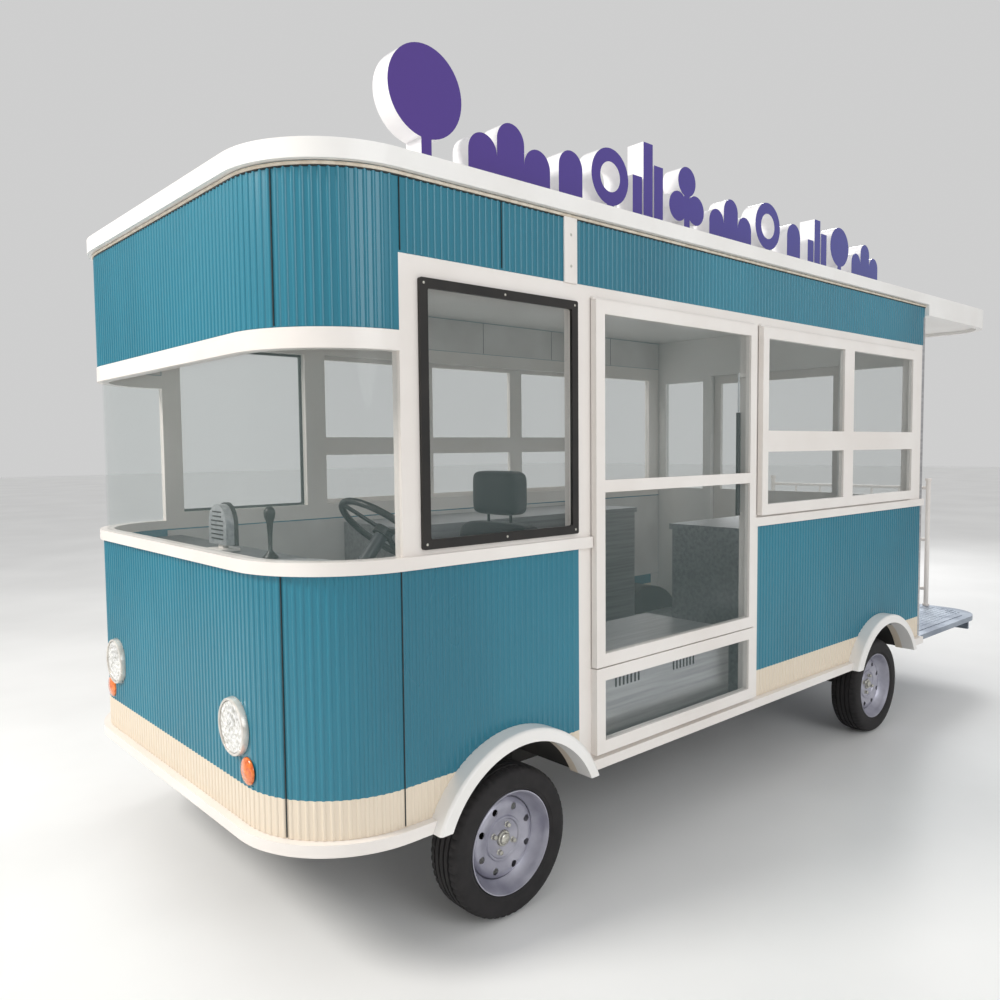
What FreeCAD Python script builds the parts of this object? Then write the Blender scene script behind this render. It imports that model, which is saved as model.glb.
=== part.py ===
import FreeCAD, Part
import math
import os
import re

# Small electric catering van with a glazed box body, a roofed rear platform and top-hinged side
# hatches. +X is forward, +Y is the van's left, +Z is up. The origin lies on the ground under the
# centre of the overall outline. Stations along the van are measured back from the front cladding.

doc = FreeCAD.newDocument("van")
sheet = doc.addObject("Spreadsheet::Sheet", "sizes")

SIZES = {
    # body shell
    "body_length": 4210, "body_width": 2000, "corner_radius": 356, "wall": 40, "nose_depth": 361,
    "body_bottom": 431, "waist_bottom": 1278, "waist_top": 1319, "waist_proud": 17,
    "screen_top": 1949, "header_top": 2010, "header_proud": 6, "side_head": 2243,
    "rail_height": 39, "rail_proud": 30, "glass": 6, "screen_inset": 12,
    # roof, canopy and rear platform
    "rim_bottom": 2485, "roof_top": 2543, "rim_proud": 25, "rim_width": 60, "roof_recess": 22,
    "ceiling": 2440, "fascia_bottom": 2420, "platform_length": 1100, "platform_radius": 235,
    "platform_thick": 35, "tread_rise": 3, "tread_border": 55, "deck_top": 470, "floor_thick": 30,
    "skirt_bottom": 340, "skirt_inset": 30,
    # wheels, arches and running gear
    "wheel_base": 2840, "front_overhang": 815, "wheel_radius": 266, "wheel_width": 155,
    "tyre_shoulder": 26, "rim_flange": 182.5, "rim_seat": 176, "rim_inner": 168, "rim_span": 135,
    "flange_thick": 10, "disc_offset": 14, "disc_thick": 8, "hub_radius": 50, "vent_radius": 16,
    "vent_circle": 122, "spindle_radius": 17.45, "running_gap": 0.05, "pin_inset": 120, "pin_radius": 16,
    "arch_radius": 360, "arch_height": 281, "liner_gap": 2, "liner_thick": 10, "liner_depth": 320,
    "flare_width": 45, "flare_proud": 70, "flare_round": 12, "yoke_reach": 76, "yoke_thick": 16,
    "axle_size": 50, "chassis_bottom": 330, "chassis_width": 60, "chassis_spacing": 820,
    "spring_length": 760, "spring_thick": 24, "cross_size": 50,
    # side openings and leaves
    "overlap": 25, "leaf_gap": 5, "leaf_thick": 26, "leaf_border": 49, "fit_gap": 0.3,
    "hinge_radius": 6, "hinge_out": 10, "hinge_gap": 0.4, "leaf_top": 2192,
    "hatch_front": 1215, "hatch_back": 2303, "hatch_bottom": 820, "hatch_bar_low": 1482,
    "hatch_bar_high": 1528, "post_front": 65, "post_back": 68, "panel_bottom": 486,
    "group_front": 2357, "group_back": 4034,
    "group_bottom": 1329, "transom_low": 1622, "transom_high": 1720, "mullion": 105,
    "serving_front": 1215, "serving_back": 3440, "tall_front": 3544, "tall_back": 4054,
    "tall_bottom": 1367, "tall_top": 2152, "cab_front": 431, "cab_back": 1139, "cab_bottom": 1336,
    "cab_top": 2178, "cab_border": 31, "cab_round": 8, "cab_frame_thick": 12,
    # rear wall and its door
    "door_width": 1020, "door_bottom": 482, "door_top": 2186, "door_glass_low": 1336,
    "door_border": 82, "rear_window_inner": 551, "rear_window_outer": 892, "rear_window_low": 1336,
    "rear_window_top": 2127, "handle_height": 1863, "handle_length": 260, "handle_radius": 10,
    # rear railing
    "post_place": 623, "post_radius": 16, "post_inset": 25, "post_top": 1400, "rail_radius": 12,
    # gas struts of the tall hatch
    "strut_low": 850, "strut_high": 220, "strut_side": 22, "strut_depth": 34, "tube_radius": 10,
    "tube_length": 470, "rod_radius": 4, "stud_radius": 6, "bracket_half": 10,
    # lamps
    "lamp_place": 573, "lamp_height": 772, "lamp_radius": 95, "lamp_proud": 22, "turn_place": 655,
    "turn_height": 647, "turn_radius": 46, "turn_proud": 14, "lamp_neck": 17, "tail_place": 830,
    "tail_height": 388, "tail_radius": 38,
    # cab and galley
    "dash_top": 1245, "dash_thick": 30, "dash_depth": 430, "dash_panel_bottom": 820,
    "wheel_station": 650, "wheel_height": 1345, "wheel_side": 470, "wheel_tilt": 40,
    "steer_radius": 185, "steer_tube": 13, "column_radius": 26, "column_length": 330,
    "seat_station": 830, "seat_length": 460, "seat_width": 470, "cushion_top": 930,
    "cushion_thick": 130, "back_top": 1560, "back_thick": 120,
    "counter_front": 1340, "counter_back": 3260, "counter_depth": 520, "counter_top": 1250,
    "top_thick": 30, "top_lip": 20, "galley_front": 2450, "galley_back": 3260,
    "fridge_front": 1330, "fridge_back": 2230, "fridge_depth": 480, "fridge_top": 812, "service_gap": 20,
    # roof sign
    "sign_depth": 80, "sign_inset": 35, "sign_foot": 20,
}
for row, (name, value) in enumerate(SIZES.items(), 1):
    sheet.set(f"A{row}", name)
    sheet.set(f"B{row}", str(value))
    sheet.setAlias(f"B{row}", name)
doc.recompute()

FRONT = "((body_length + platform_length - rail_proud) / 2)"
HALF = "(body_width / 2)"
REAR = f"({FRONT} - body_length)"
TAIL = f"({FRONT} - body_length - platform_length)"
FRONT_AXLE = "front_overhang"
REAR_AXLE = "(front_overhang + wheel_base)"
FLOOR_UNDER = "(deck_top - floor_thick)"
LEFT, RIGHT = 1, -1

parts = {}


def bind(thing, path, formula):
    """Tie a property to the sheet; every word in the formula is an alias of the sheet."""
    known = lambda word: "sizes." + word.group(0) if word.group(0) in SIZES else word.group(0)
    thing.setExpression(path, re.sub(r"[a-z]\w*", known, str(formula)))


def value(formula):
    """The number that a formula of the sheet comes to now, for what takes no expression."""
    known = lambda word: repr(float(sheet.get(word.group(0)))) if word.group(0) in SIZES else word.group(0)
    holder = doc.addObject("App::FeaturePython", "number")
    holder.addProperty("App::PropertyFloat", "result")
    bind(holder, "result", formula)
    holder.recompute()
    result = holder.result
    doc.removeObject(holder.Name)
    return result


def place(thing, x, y, z):
    for axis, formula in zip("xyz", (x, y, z)):
        bind(thing, f"Placement.Base.{axis}", formula)


def box(x, y, z):
    """A block between three pairs of formulas, low and high."""
    thing = doc.addObject("Part::Box", "block")
    for name, (low, high) in zip(("Length", "Width", "Height"), (x, y, z)):
        bind(thing, name, f"({high}) - ({low})")
    place(thing, x[0], y[0], z[0])
    return thing


TURNS = {
    "x": FreeCAD.Rotation(FreeCAD.Vector(0, 1, 0), 90),
    "y": FreeCAD.Rotation(FreeCAD.Vector(1, 0, 0), -90),
    "z": FreeCAD.Rotation(),
}


def rod(axis, radius, span, first, second):
    """A cylinder along an axis; first and second are its centre on the two other axes in order."""
    thing = doc.addObject("Part::Cylinder", "round")
    bind(thing, "Radius", radius)
    bind(thing, "Height", f"({span[1]}) - ({span[0]})")
    thing.Placement = FreeCAD.Placement(FreeCAD.Vector(), TURNS[axis])
    centre = {"x": (span[0], first, second), "y": (first, span[0], second), "z": (first, second, span[0])}
    place(thing, *centre[axis])
    return thing


def fuse(*things):
    whole = doc.addObject("Part::MultiFuse", "joined")
    whole.Shapes = list(things)
    whole.Refine = True
    return whole


def common(*things):
    whole = doc.addObject("Part::MultiCommon", "shared")
    whole.Shapes = list(things)
    return whole


def cut(base, *tools):
    whole = doc.addObject("Part::Cut", "cut")
    whole.Base = base
    whole.Tool = tools[0] if len(tools) == 1 else fuse(*tools)
    whole.Refine = True
    return whole


def node(label, thing):
    """Name a finished sub-part."""
    thing.Label = label
    parts[label] = thing
    return thing


def back(low, high):
    """The x range between two stations behind the front cladding."""
    return f"{FRONT} - ({high})", f"{FRONT} - ({low})"


def out(side, low, high):
    """The y range between two distances from the centre plane, on one side."""
    return (low, high) if side == LEFT else (f"-({high})", f"-({low})")


def off(side, distance):
    """The y of a point at a distance from the centre plane, on one side."""
    return distance if side == LEFT else f"-({distance})"


def wall_band(side):
    return out(side, f"{HALF} - wall", HALF)


def panel(y, x, z, radius):
    """A plate with rounded corners that stands along the van's side."""
    low, high = f"({x[0]}) + {radius}", f"({x[1]}) - {radius}"
    bottom, top = f"({z[0]}) + {radius}", f"({z[1]}) - {radius}"
    corners = [rod("y", radius, y, cx, cz) for cx in (low, high) for cz in (bottom, top)]
    return fuse(box(x, y, (bottom, top)), box((low, high), y, z), *corners)


def outline(inset, z, rear=REAR, rear_radius=None):
    """A prism of the body's plan, with its front corners rounded, drawn in by an inset."""
    side = f"{HALF} - ({inset})"
    centre_x, centre_y = f"{FRONT} - corner_radius", f"{HALF} - corner_radius"
    pieces = [box((centre_x, f"{FRONT} - ({inset})"), (f"-({centre_y})", centre_y), z)]
    pieces += [rod("z", f"corner_radius - ({inset})", z, centre_x, f"{sign}({centre_y})") for sign in ("", "-")]
    if rear_radius is None:
        pieces.append(box((rear, centre_x), (f"-({side})", side), z))
        return fuse(*pieces)
    turn_x, turn_y = f"{rear} + {rear_radius}", f"{HALF} - {rear_radius}"
    pieces.append(box((turn_x, centre_x), (f"-({side})", side), z))
    pieces.append(box((f"{rear} + ({inset})", turn_x), (f"-({turn_y})", turn_y), z))
    for sign in ("", "-"):
        pieces.append(rod("z", f"{rear_radius} - ({inset})", z, turn_x, f"{sign}({turn_y})"))
    return fuse(*pieces)


def nose(outer, inner, z):
    """The stretch of a wall that wraps round the front, from one side post to the other."""
    shell = cut(outline(outer, z), outline(inner, (f"{z[0]} - 1", f"{z[1]} + 1")))
    keep = box(back("-200", "nose_depth"), (f"-{HALF} - 200", f"{HALF} + 200"), (f"{z[0]} - 1", f"{z[1]} + 1"))
    return common(shell, keep)


def arch(side, station, radius, y=None):
    """A round clearance about a wheel, through the wall unless a y range is given."""
    return rod("y", radius, y or out(side, f"{HALF} - wall - 5", f"{HALF} + rail_proud + 5"),
               f"{FRONT} - {station}", "arch_height")


WHEELS = [("front_left", FRONT_AXLE, LEFT), ("front_right", FRONT_AXLE, RIGHT),
          ("rear_left", REAR_AXLE, LEFT), ("rear_right", REAR_AXLE, RIGHT)]


# ---- chassis and floor -----------------------------------------------------------------------

def chassis_frame():
    """Two long box rails joined by cross members, under the floor and the platform."""
    top, pieces = FLOOR_UNDER, []
    for side in (LEFT, RIGHT):
        y = out(side, "(chassis_spacing - chassis_width) / 2", "(chassis_spacing + chassis_width) / 2")
        pieces.append(box(back(130, "body_length"), y, ("chassis_bottom", top)))
        pieces.append(box(back("body_length", "body_length + platform_length - skirt_inset - 20"), y,
                          ("chassis_bottom", "deck_top - platform_thick")))
    for station in ("250", f"{FRONT_AXLE} + 450", f"{REAR_AXLE} - 1000", f"{REAR_AXLE} - 450",
                    f"{REAR_AXLE} + 440", "body_length + platform_length - 200"):
        pieces.append(box(back(station, f"{station} + cross_size"),
                          ("-chassis_spacing / 2", "chassis_spacing / 2"),
                          ("chassis_bottom + 20", "chassis_bottom + 20 + cross_size")))
    return fuse(*pieces)


def wheel_arches(radius, inner):
    """A half round solid over each wheel, from the side wall inwards."""
    return [arch(side, station, radius, out(side, inner, f"{HALF} - wall + 1"))
            for _, station, side in WHEELS]


LINER_RADIUS = "(arch_radius + liner_gap)"
LINER_INNER = f"({HALF} - wall - liner_depth)"
UNDERNEATH = (("-20000", "20000"), (f"-{HALF}", HALF), ("-400", FLOOR_UNDER))


def floor_deck():
    """The cabin floor, cut away over each wheel."""
    floor = outline("wall", (FLOOR_UNDER, "deck_top"), rear=f"{REAR} + wall")
    return cut(floor, *wheel_arches(f"{LINER_RADIUS} + liner_thick", LINER_INNER))


def wheel_boxes():
    """The round steel boxes that close the floor over the wheels."""
    hollows = wheel_arches(LINER_RADIUS, f"{LINER_INNER} + liner_thick")
    beyond = [box(("-20000", "20000"), out(side, f"{HALF} - wall", f"{HALF} + 50"), ("-400", "20000"))
              for side in (LEFT, RIGHT)]
    shells = fuse(*wheel_arches(f"{LINER_RADIUS} + liner_thick", LINER_INNER))
    return cut(shells, *hollows, *beyond, box(*UNDERNEATH))


node("chassis_frame", chassis_frame())
node("floor_deck", floor_deck())
node("wheel_boxes", wheel_boxes())


# ---- body shell ------------------------------------------------------------------------------

def lamp_holes():
    """The round holes in the nose that the lamps' necks pass through."""
    holes = []
    for sign in ("", "-"):
        reach = (f"{FRONT} - wall - 5", f"{FRONT} + 5")
        holes.append(rod("x", "lamp_radius - lamp_neck + fit_gap", reach, f"{sign}lamp_place", "lamp_height"))
        holes.append(rod("x", "turn_radius - 8 + fit_gap", reach, f"{sign}turn_place", "turn_height"))
    return holes


HATCH_BAY = back("hatch_front - post_front", "hatch_back + post_back")


def lower_sides():
    """The ribbed panels below the waist on both sides, cut for the wheels and the tall hatch."""
    sides = []
    for side in (LEFT, RIGHT):
        plate = box(back("nose_depth", "body_length"), wall_band(side), ("body_bottom", "waist_bottom"))
        tools = [arch(side, station, "arch_radius") for _, station, which in WHEELS if which == side]
        if side == LEFT:
            tools.append(box(HATCH_BAY, (f"{HALF} - wall - 5", f"{HALF} + 5"),
                             ("body_bottom - 1", "waist_bottom + 1")))
        sides.append(cut(plate, *tools))
    return fuse(*sides)


def tall_opening():
    """The doorway-high hole behind the tall hatch and the fixed pane below it."""
    return box(back("hatch_front + overlap", "hatch_back - overlap"),
               (f"{HALF} - wall - 5", f"{HALF} + 5"), ("panel_bottom + overlap", "leaf_top - overlap"))


def window_hole(side, front, rear, bottom, top):
    return box(back(front, rear), out(side, f"{HALF} - wall - 5", f"{HALF} + 5"), (bottom, top))


def hinge_barrel(side, front, rear, top="leaf_top"):
    """The fixed barrel of a top hinge, on its small web."""
    height = f"{top} + hinge_gap + hinge_radius"
    barrel = rod("x", "hinge_radius", back(front, rear), off(side, f"{HALF} + hinge_out"), height)
    web = box(back(front, rear), out(side, HALF, f"{HALF} + hinge_out"), (height, f"{height} + hinge_radius"))
    return fuse(barrel, web)


CAB_HOLE = ("cab_front + 0.6 * cab_border", "cab_back - 0.6 * cab_border",
            "cab_bottom + 0.6 * cab_border", "cab_top - 0.6 * cab_border")


STRUT_EDGES = (("(hatch_front + overlap)", "-"), ("(hatch_back - overlap)", "+"))
STRUT_LOW, STRUT_HIGH = "(leaf_top - strut_low)", "(leaf_top - strut_high)"
STRUT_Y = f"({HALF} - strut_depth)"


def beside(edge, sign, near, far):
    """The x range between two distances from an upright edge of the tall hole, towards its middle."""
    first, second = (f"{FRONT} - {edge} {sign} ({distance})" for distance in (near, far))
    return (second, first) if sign == "-" else (first, second)


def strut_studs():
    """The short pins on the hole's edges that the struts' tubes turn on."""
    return [rod("x", "stud_radius", beside(edge, sign, "-1", "strut_side - tube_radius - fit_gap"),
                STRUT_Y, STRUT_LOW) for edge, sign in STRUT_EDGES]


def side_frames():
    """The white posts and rails about the side windows, with the fixed hinge barrels."""
    sides = []
    for side in (LEFT, RIGHT):
        plate = box(back("nose_depth", "body_length"), wall_band(side), ("waist_bottom", "side_head"))
        if side == LEFT:
            plate = fuse(plate, box(HATCH_BAY, wall_band(side), ("body_bottom", "waist_bottom")))
        tools = [window_hole(side, *CAB_HOLE)]
        barrels = []
        if side == LEFT:
            tools.append(tall_opening())
            tools.append(arch(side, FRONT_AXLE, "arch_radius"))
            tools.append(window_hole(side, "group_front + overlap", "group_back - overlap",
                                     "group_bottom + overlap", "leaf_top - overlap"))
            barrels.append(hinge_barrel(side, "hatch_front", "hatch_back"))
            barrels += strut_studs()
            barrels.append(hinge_barrel(side, "group_front", "group_back"))
        else:
            tools.append(window_hole(side, "serving_front + overlap", "serving_back - overlap",
                                     "group_bottom + overlap", "leaf_top - overlap"))
            tools.append(window_hole(side, "tall_front", "tall_back", "tall_bottom", "tall_top"))
            barrels.append(hinge_barrel(side, "serving_front", "serving_back"))
        sides.append(fuse(cut(plate, *tools), *barrels))
    return fuse(*sides)


def window_rails():
    """The waist rail round the nose and along the sides, and the rail over the windscreen."""
    z = ("waist_bottom", "waist_top")
    strips = [nose("-waist_proud", "wall", z)]
    clear = "leaf_gap + 1"
    right = out(RIGHT, HALF, f"{HALF} + waist_proud")
    left = out(LEFT, HALF, f"{HALF} + waist_proud")
    strips.append(box(back("nose_depth", "body_length"), right, z))
    strips.append(box(back("nose_depth", f"hatch_front - {clear}"), left, z))
    header = nose("-header_proud", "wall", ("screen_top", "header_top"))
    tail = box(back(f"hatch_back + {clear}", "body_length"), left, z)
    return fuse(fuse(*strips), header, tail)


def bottom_rail():
    """The proud rail along the bottom of the body, broken at the wheels."""
    z = ("body_bottom", "body_bottom + rail_height")
    ring = cut(outline("-rail_proud", z), outline("0", (f"{z[0]} - 1", f"{z[1]} + 1")))
    tools = [arch(side, station, "arch_radius + flare_width + fit_gap") for _, station, side in WHEELS]
    return cut(ring, *tools)


def rear_wall():
    """The wall behind the galley, with a doorway, two windows and the door's hinge barrel."""
    half = "door_width / 2"
    x = (REAR, f"{REAR} + wall")
    through = (f"{REAR} - 5", f"{REAR} + wall + 5")
    plate = box(x, (f"-{HALF} + wall", f"{HALF} - wall"), ("deck_top", "rim_bottom"))
    plate = cut(plate, box(("-20000", "20000"), (f"-{HALF}", HALF), ("ceiling", "rim_bottom + 1")))
    tools = [box(through, (f"-{half} + overlap", f"{half} - overlap"), ("deck_top - 1", "door_top - overlap"))]
    for side in (LEFT, RIGHT):
        tools.append(box(through, out(side, "rear_window_inner", "rear_window_outer"),
                         ("rear_window_low", "rear_window_top")))
    centre = f"-{half} - hinge_gap - hinge_radius"
    z = ("door_bottom", "door_top")
    barrel = rod("z", "hinge_radius", z, f"{REAR} - hinge_out", centre)
    web = box((f"{REAR} - hinge_out", REAR), (f"{centre} - hinge_radius", centre), z)
    return fuse(cut(plate, *tools), barrel, web)


node("lower_nose", cut(nose("0", "wall", ("body_bottom", "waist_bottom")), *lamp_holes()))
node("lower_sides", lower_sides())
node("upper_nose", nose("0", "wall", ("header_top", "rim_bottom")))
node("upper_sides", fuse(*[box(back("nose_depth", "body_length"), wall_band(side), ("side_head", "rim_bottom"))
                           for side in (LEFT, RIGHT)]))
node("side_frames", side_frames())
node("window_rails", window_rails())
node("bottom_rail", bottom_rail())
node("rear_wall", rear_wall())
node("windscreen", nose("screen_inset", "screen_inset + glass", ("waist_top", "screen_top")))


# ---- roof ------------------------------------------------------------------------------------

def roof_shell():
    """The roof with its upright rim, the ceiling slab and the deeper canopy over the platform."""
    rounded = {"rear": f"({TAIL} + rim_proud)", "rear_radius": "platform_radius"}
    slab = outline("-rim_proud", ("rim_bottom", "roof_top"), **rounded)
    recess = outline("rim_width - rim_proud", ("roof_top - roof_recess", "roof_top + 1"), **rounded)
    ceiling = outline("wall + fit_gap", ("ceiling", "rim_bottom"), rear=REAR)
    fascia = cut(outline("-rim_proud", ("fascia_bottom", "rim_bottom"), **rounded),
                 outline("wall - rim_proud", ("fascia_bottom - 1", "ceiling"), **rounded))
    behind = box((f"{TAIL} - 200", REAR), (f"-{HALF} - 200", f"{HALF} + 200"), ("fascia_bottom - 2", "roof_top"))
    return fuse(cut(slab, recess), ceiling, common(fascia, behind))


SIGN = [("disc", 358, 286, 360), ("waves", 670, 377, 240), ("dome", 1060, 187, 240),
        ("ring", 1265, 213, 240), ("bars", 1500, 200, 310), ("dots", 1737, 243, 340),
        ("waves", 2020, 330, 240), ("ring", 2385, 215, 240), ("dome", 2635, 187, 240),
        ("bars", 2860, 200, 240), ("disc", 3095, 200, 240), ("waves", 3330, 310, 240)]


def sign_shape(kind, station, width, height):
    """One plain figure of the roof sign, a flat solid on a low foot."""
    y = (f"{HALF} - sign_inset - sign_depth", f"{HALF} - sign_inset")
    through = (f"{y[0]} - 1", f"{y[1]} + 1")
    middle, foot = f"{FRONT} - {station + width / 2}", "roof_top"
    base = box(back(station, station + width), y, (foot, f"{foot} + sign_foot"))
    radius, centre = width / 2, f"{foot} + {height - width / 2}"
    stem = box((f"{middle} - sign_foot", f"{middle} + sign_foot"), y, (foot, centre))
    if kind in ("disc", "ring"):
        shape = fuse(base, stem, rod("y", radius, y, middle, centre))
        hole = rod("y", radius - 50, through, middle, centre)
        return cut(shape, hole) if kind == "ring" else shape
    if kind == "waves":
        third = width / 3
        hills = []
        for number, share in enumerate((0.35, 0.6, 0.35)):
            left, crest = station + third * number, f"{foot} + {height * share}"
            hills.append(box(back(left, left + third), y, (foot, crest)))
            hills.append(rod("y", third / 2, y, f"{FRONT} - {left + third / 2}", crest))
        return fuse(base, *hills)
    if kind == "dome":
        square = box((f"{middle} - {radius / 1.5}", f"{middle} + {radius / 1.5}"), y,
                     (foot, f"{foot} + {height / 2}"))
        return fuse(base, square, rod("y", radius / 1.5, y, middle, f"{foot} + {height / 2}"))
    if kind == "bars":
        tall = [box(back(station + width * number / 3 + 4, station + width * (number + 1) / 3 - 4), y,
                    (foot, f"{foot} + {height * share}")) for number, share in enumerate((0.55, 1.0, 0.75))]
        return fuse(base, *tall)
    small = [rod("y", width / 4, y, f"{FRONT} - {station + width * share}", f"{foot} + {height * rise}")
             for share, rise in ((0.25, 0.3), (0.75, 0.3), (0.5, 0.62))]
    return fuse(base, stem, *small)


node("roof_shell", roof_shell())
node("roof_sign", fuse(*[sign_shape(*item) for item in SIGN]))


# ---- rear platform ---------------------------------------------------------------------------

BORDER_TOP = "(deck_top - tread_rise)"


def rear_platform():
    """The standing platform with a raised tread plate and a skirt below its rear edge."""
    z = ("deck_top - platform_thick", BORDER_TOP)
    deck = common(outline("0", z, rear=TAIL, rear_radius="platform_radius"),
                  box((TAIL, REAR), (f"-{HALF}", HALF), z))
    tread = common(outline("tread_border", (BORDER_TOP, "deck_top"), rear=f"{TAIL} + tread_border",
                           rear_radius="platform_radius - tread_border"),
                   box((TAIL, REAR), (f"-{HALF}", HALF), (BORDER_TOP, "deck_top")))
    skirt = box((f"{TAIL} + skirt_inset", f"{TAIL} + skirt_inset + 20"), ("-tail_place - 90", "tail_place + 90"),
                ("skirt_bottom", z[0]))
    holes = [rod("x", "tail_radius - 8 + fit_gap", (f"{TAIL} + skirt_inset - 5", f"{TAIL} + skirt_inset + 25"),
                 off(side, "tail_place"), "tail_height") for side in (LEFT, RIGHT)]
    return cut(fuse(deck, tread, skirt), *holes)


def rear_railing():
    """Two capped posts near the platform's rear edge, joined by rails and slim uprights."""
    x = f"{TAIL} + post_inset"
    pieces = []
    for side in (LEFT, RIGHT):
        y = off(side, "post_place")
        pieces.append(rod("z", "post_radius", (BORDER_TOP, "post_top - 20"), x, y))
        pieces.append(rod("z", "post_radius + 8", (BORDER_TOP, "deck_top + 8"), x, y))
        pieces.append(rod("z", "post_radius + 6", ("post_top - 20", "post_top"), x, y))
    heights = ("deck_top + 120", "deck_top + 480", "post_top - 70")
    for height in heights:
        pieces.append(rod("y", "rail_radius", ("-post_place", "post_place"), x, height))
    for step in (-2, -1, 0, 1, 2):
        pieces.append(rod("z", "rail_radius - 4", (heights[0], heights[2]), x, f"post_place * {step} / 3"))
    return fuse(*pieces)


node("rear_platform", rear_platform())
node("rear_railing", rear_railing())


# ---- windows that stay shut ------------------------------------------------------------------

PANE_Y = (f"{HALF} - wall / 2 - glass / 2", f"{HALF} - wall / 2 + glass / 2")


def pane(side, front, rear, bottom, top):
    """A pane in the middle of the wall, with a small gap to its hole."""
    return box(back(f"{front} + fit_gap", f"{rear} - fit_gap"), out(side, *PANE_Y),
               (f"{bottom} + fit_gap", f"{top} - fit_gap"))


def cab_window_frames():
    """The black rounded frames on the outside of both cab windows."""
    frames = []
    for side in (LEFT, RIGHT):
        y = out(side, HALF, f"{HALF} + cab_frame_thick")
        ring = panel(y, back("cab_front", "cab_back"), ("cab_bottom", "cab_top"), "cab_round")
        hole = panel(out(side, f"{HALF} - 1", f"{HALF} + cab_frame_thick + 1"),
                     back("cab_front + cab_border", "cab_back - cab_border"),
                     ("cab_bottom + cab_border", "cab_top - cab_border"), "cab_round")
        frames.append(cut(ring, hole))
    return fuse(*frames)


LEAF_Y = (f"{HALF} + leaf_gap", f"{HALF} + leaf_gap + leaf_thick")


def lower_panel_frame():
    """The fixed frame under the tall hatch, which closes the foot of the same hole."""
    y = (HALF, LEAF_Y[1])
    low, high = "panel_bottom", "hatch_bottom - leaf_gap"
    plate = box(back("hatch_front", "hatch_back"), y, (low, high))
    hole = box(back("hatch_front + leaf_border", "hatch_back - leaf_border"), (f"{HALF} - 1", f"{LEAF_Y[1]} + 1"),
               (f"{low} + leaf_border", f"{high} - leaf_border"))
    return cut(plate, hole)


def fixed_window_glass():
    """The panes of the cab, the fixed lower panel, the tall right window and the rear wall."""
    panes = [pane(side, *CAB_HOLE) for side in (LEFT, RIGHT)]
    panes.append(pane(RIGHT, "tall_front", "tall_back", "tall_bottom", "tall_top"))
    middle = f"{HALF} + leaf_gap + leaf_thick / 2"
    panes.append(box(back("hatch_front + leaf_border + fit_gap", "hatch_back - leaf_border - fit_gap"),
                     (f"{middle} - glass / 2", f"{middle} + glass / 2"),
                     ("panel_bottom + leaf_border + fit_gap", "hatch_bottom - leaf_gap - leaf_border - fit_gap")))
    for side in (LEFT, RIGHT):
        panes.append(box((f"{REAR} + wall / 2 - glass / 2", f"{REAR} + wall / 2 + glass / 2"),
                         out(side, "rear_window_inner + fit_gap", "rear_window_outer - fit_gap"),
                         ("rear_window_low + fit_gap", "rear_window_top - fit_gap")))
    return fuse(*panes)


node("cab_window_frames", cab_window_frames())
node("lower_panel_frame", lower_panel_frame())
node("fixed_window_glass", fixed_window_glass())


# ---- hatches ---------------------------------------------------------------------------------

def leaf(side, front, rear, bottom, columns, rows):
    """A top-hinged glazed leaf outside the wall: its frame and its panes."""
    y = out(side, *LEAF_Y)
    deep = out(side, f"{LEAF_Y[0]} - 1", f"{LEAF_Y[1]} + 1")
    middle = f"{HALF} + leaf_gap + leaf_thick / 2"
    thin = out(side, f"{middle} - glass / 2", f"{middle} + glass / 2")
    frame = box(back(front, rear), y, (bottom, "leaf_top"))
    holes, panes = [], []
    for left, right in columns:
        for low, high in rows:
            holes.append(box(back(left, right), deep, (low, high)))
            panes.append(box(back(f"{left} + fit_gap", f"{right} - fit_gap"), thin,
                             (f"{low} + fit_gap", f"{high} - fit_gap")))
    return cut(frame, *holes), fuse(*panes)


def even_columns(front, rear, count):
    """Pane columns of equal width between two edges, with a mullion between each pair."""
    first, last = f"{front} + leaf_border", f"{rear} - leaf_border"
    width = f"(({last}) - ({first}) - {count - 1} * mullion) / {count}"
    starts = [f"{first} + {number} * ({width} + mullion)" for number in range(count)]
    return [(start, f"{start} + {width}") for start in starts]


def tall_hatch():
    rows = [("hatch_bottom + leaf_border", "hatch_bar_low"), ("hatch_bar_high", "leaf_top - leaf_border")]
    columns = even_columns("hatch_front", "hatch_back", 1)
    return leaf(LEFT, "hatch_front", "hatch_back", "hatch_bottom", columns, rows)


GROUP_ROWS = [("group_bottom + leaf_border", "transom_low"), ("transom_high", "leaf_top - leaf_border")]


tall_frame, tall_glass = tall_hatch()
group_frame, group_glass = leaf(LEFT, "group_front", "group_back", "group_bottom",
                                even_columns("group_front", "group_back", 2), GROUP_ROWS)
serving_frame, serving_glass = leaf(RIGHT, "serving_front", "serving_back", "group_bottom",
                                    even_columns("serving_front", "serving_back", 3), GROUP_ROWS)
node("left_hatch_glass", tall_glass)
node("rear_left_hatch_frame", group_frame)
node("rear_left_hatch_glass", group_glass)
node("right_hatch_frame", serving_frame)
node("right_hatch_glass", serving_glass)


def strut_brackets():
    """The plates on the tall leaf that the struts' rods end beside."""
    return [box(beside(edge, sign, "strut_side / 4", "strut_side - rod_radius - fit_gap"),
                (f"{STRUT_Y} - bracket_half", LEAF_Y[0]),
                (f"{STRUT_HIGH} - bracket_half", f"{STRUT_HIGH} + bracket_half")) for edge, sign in STRUT_EDGES]


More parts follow.
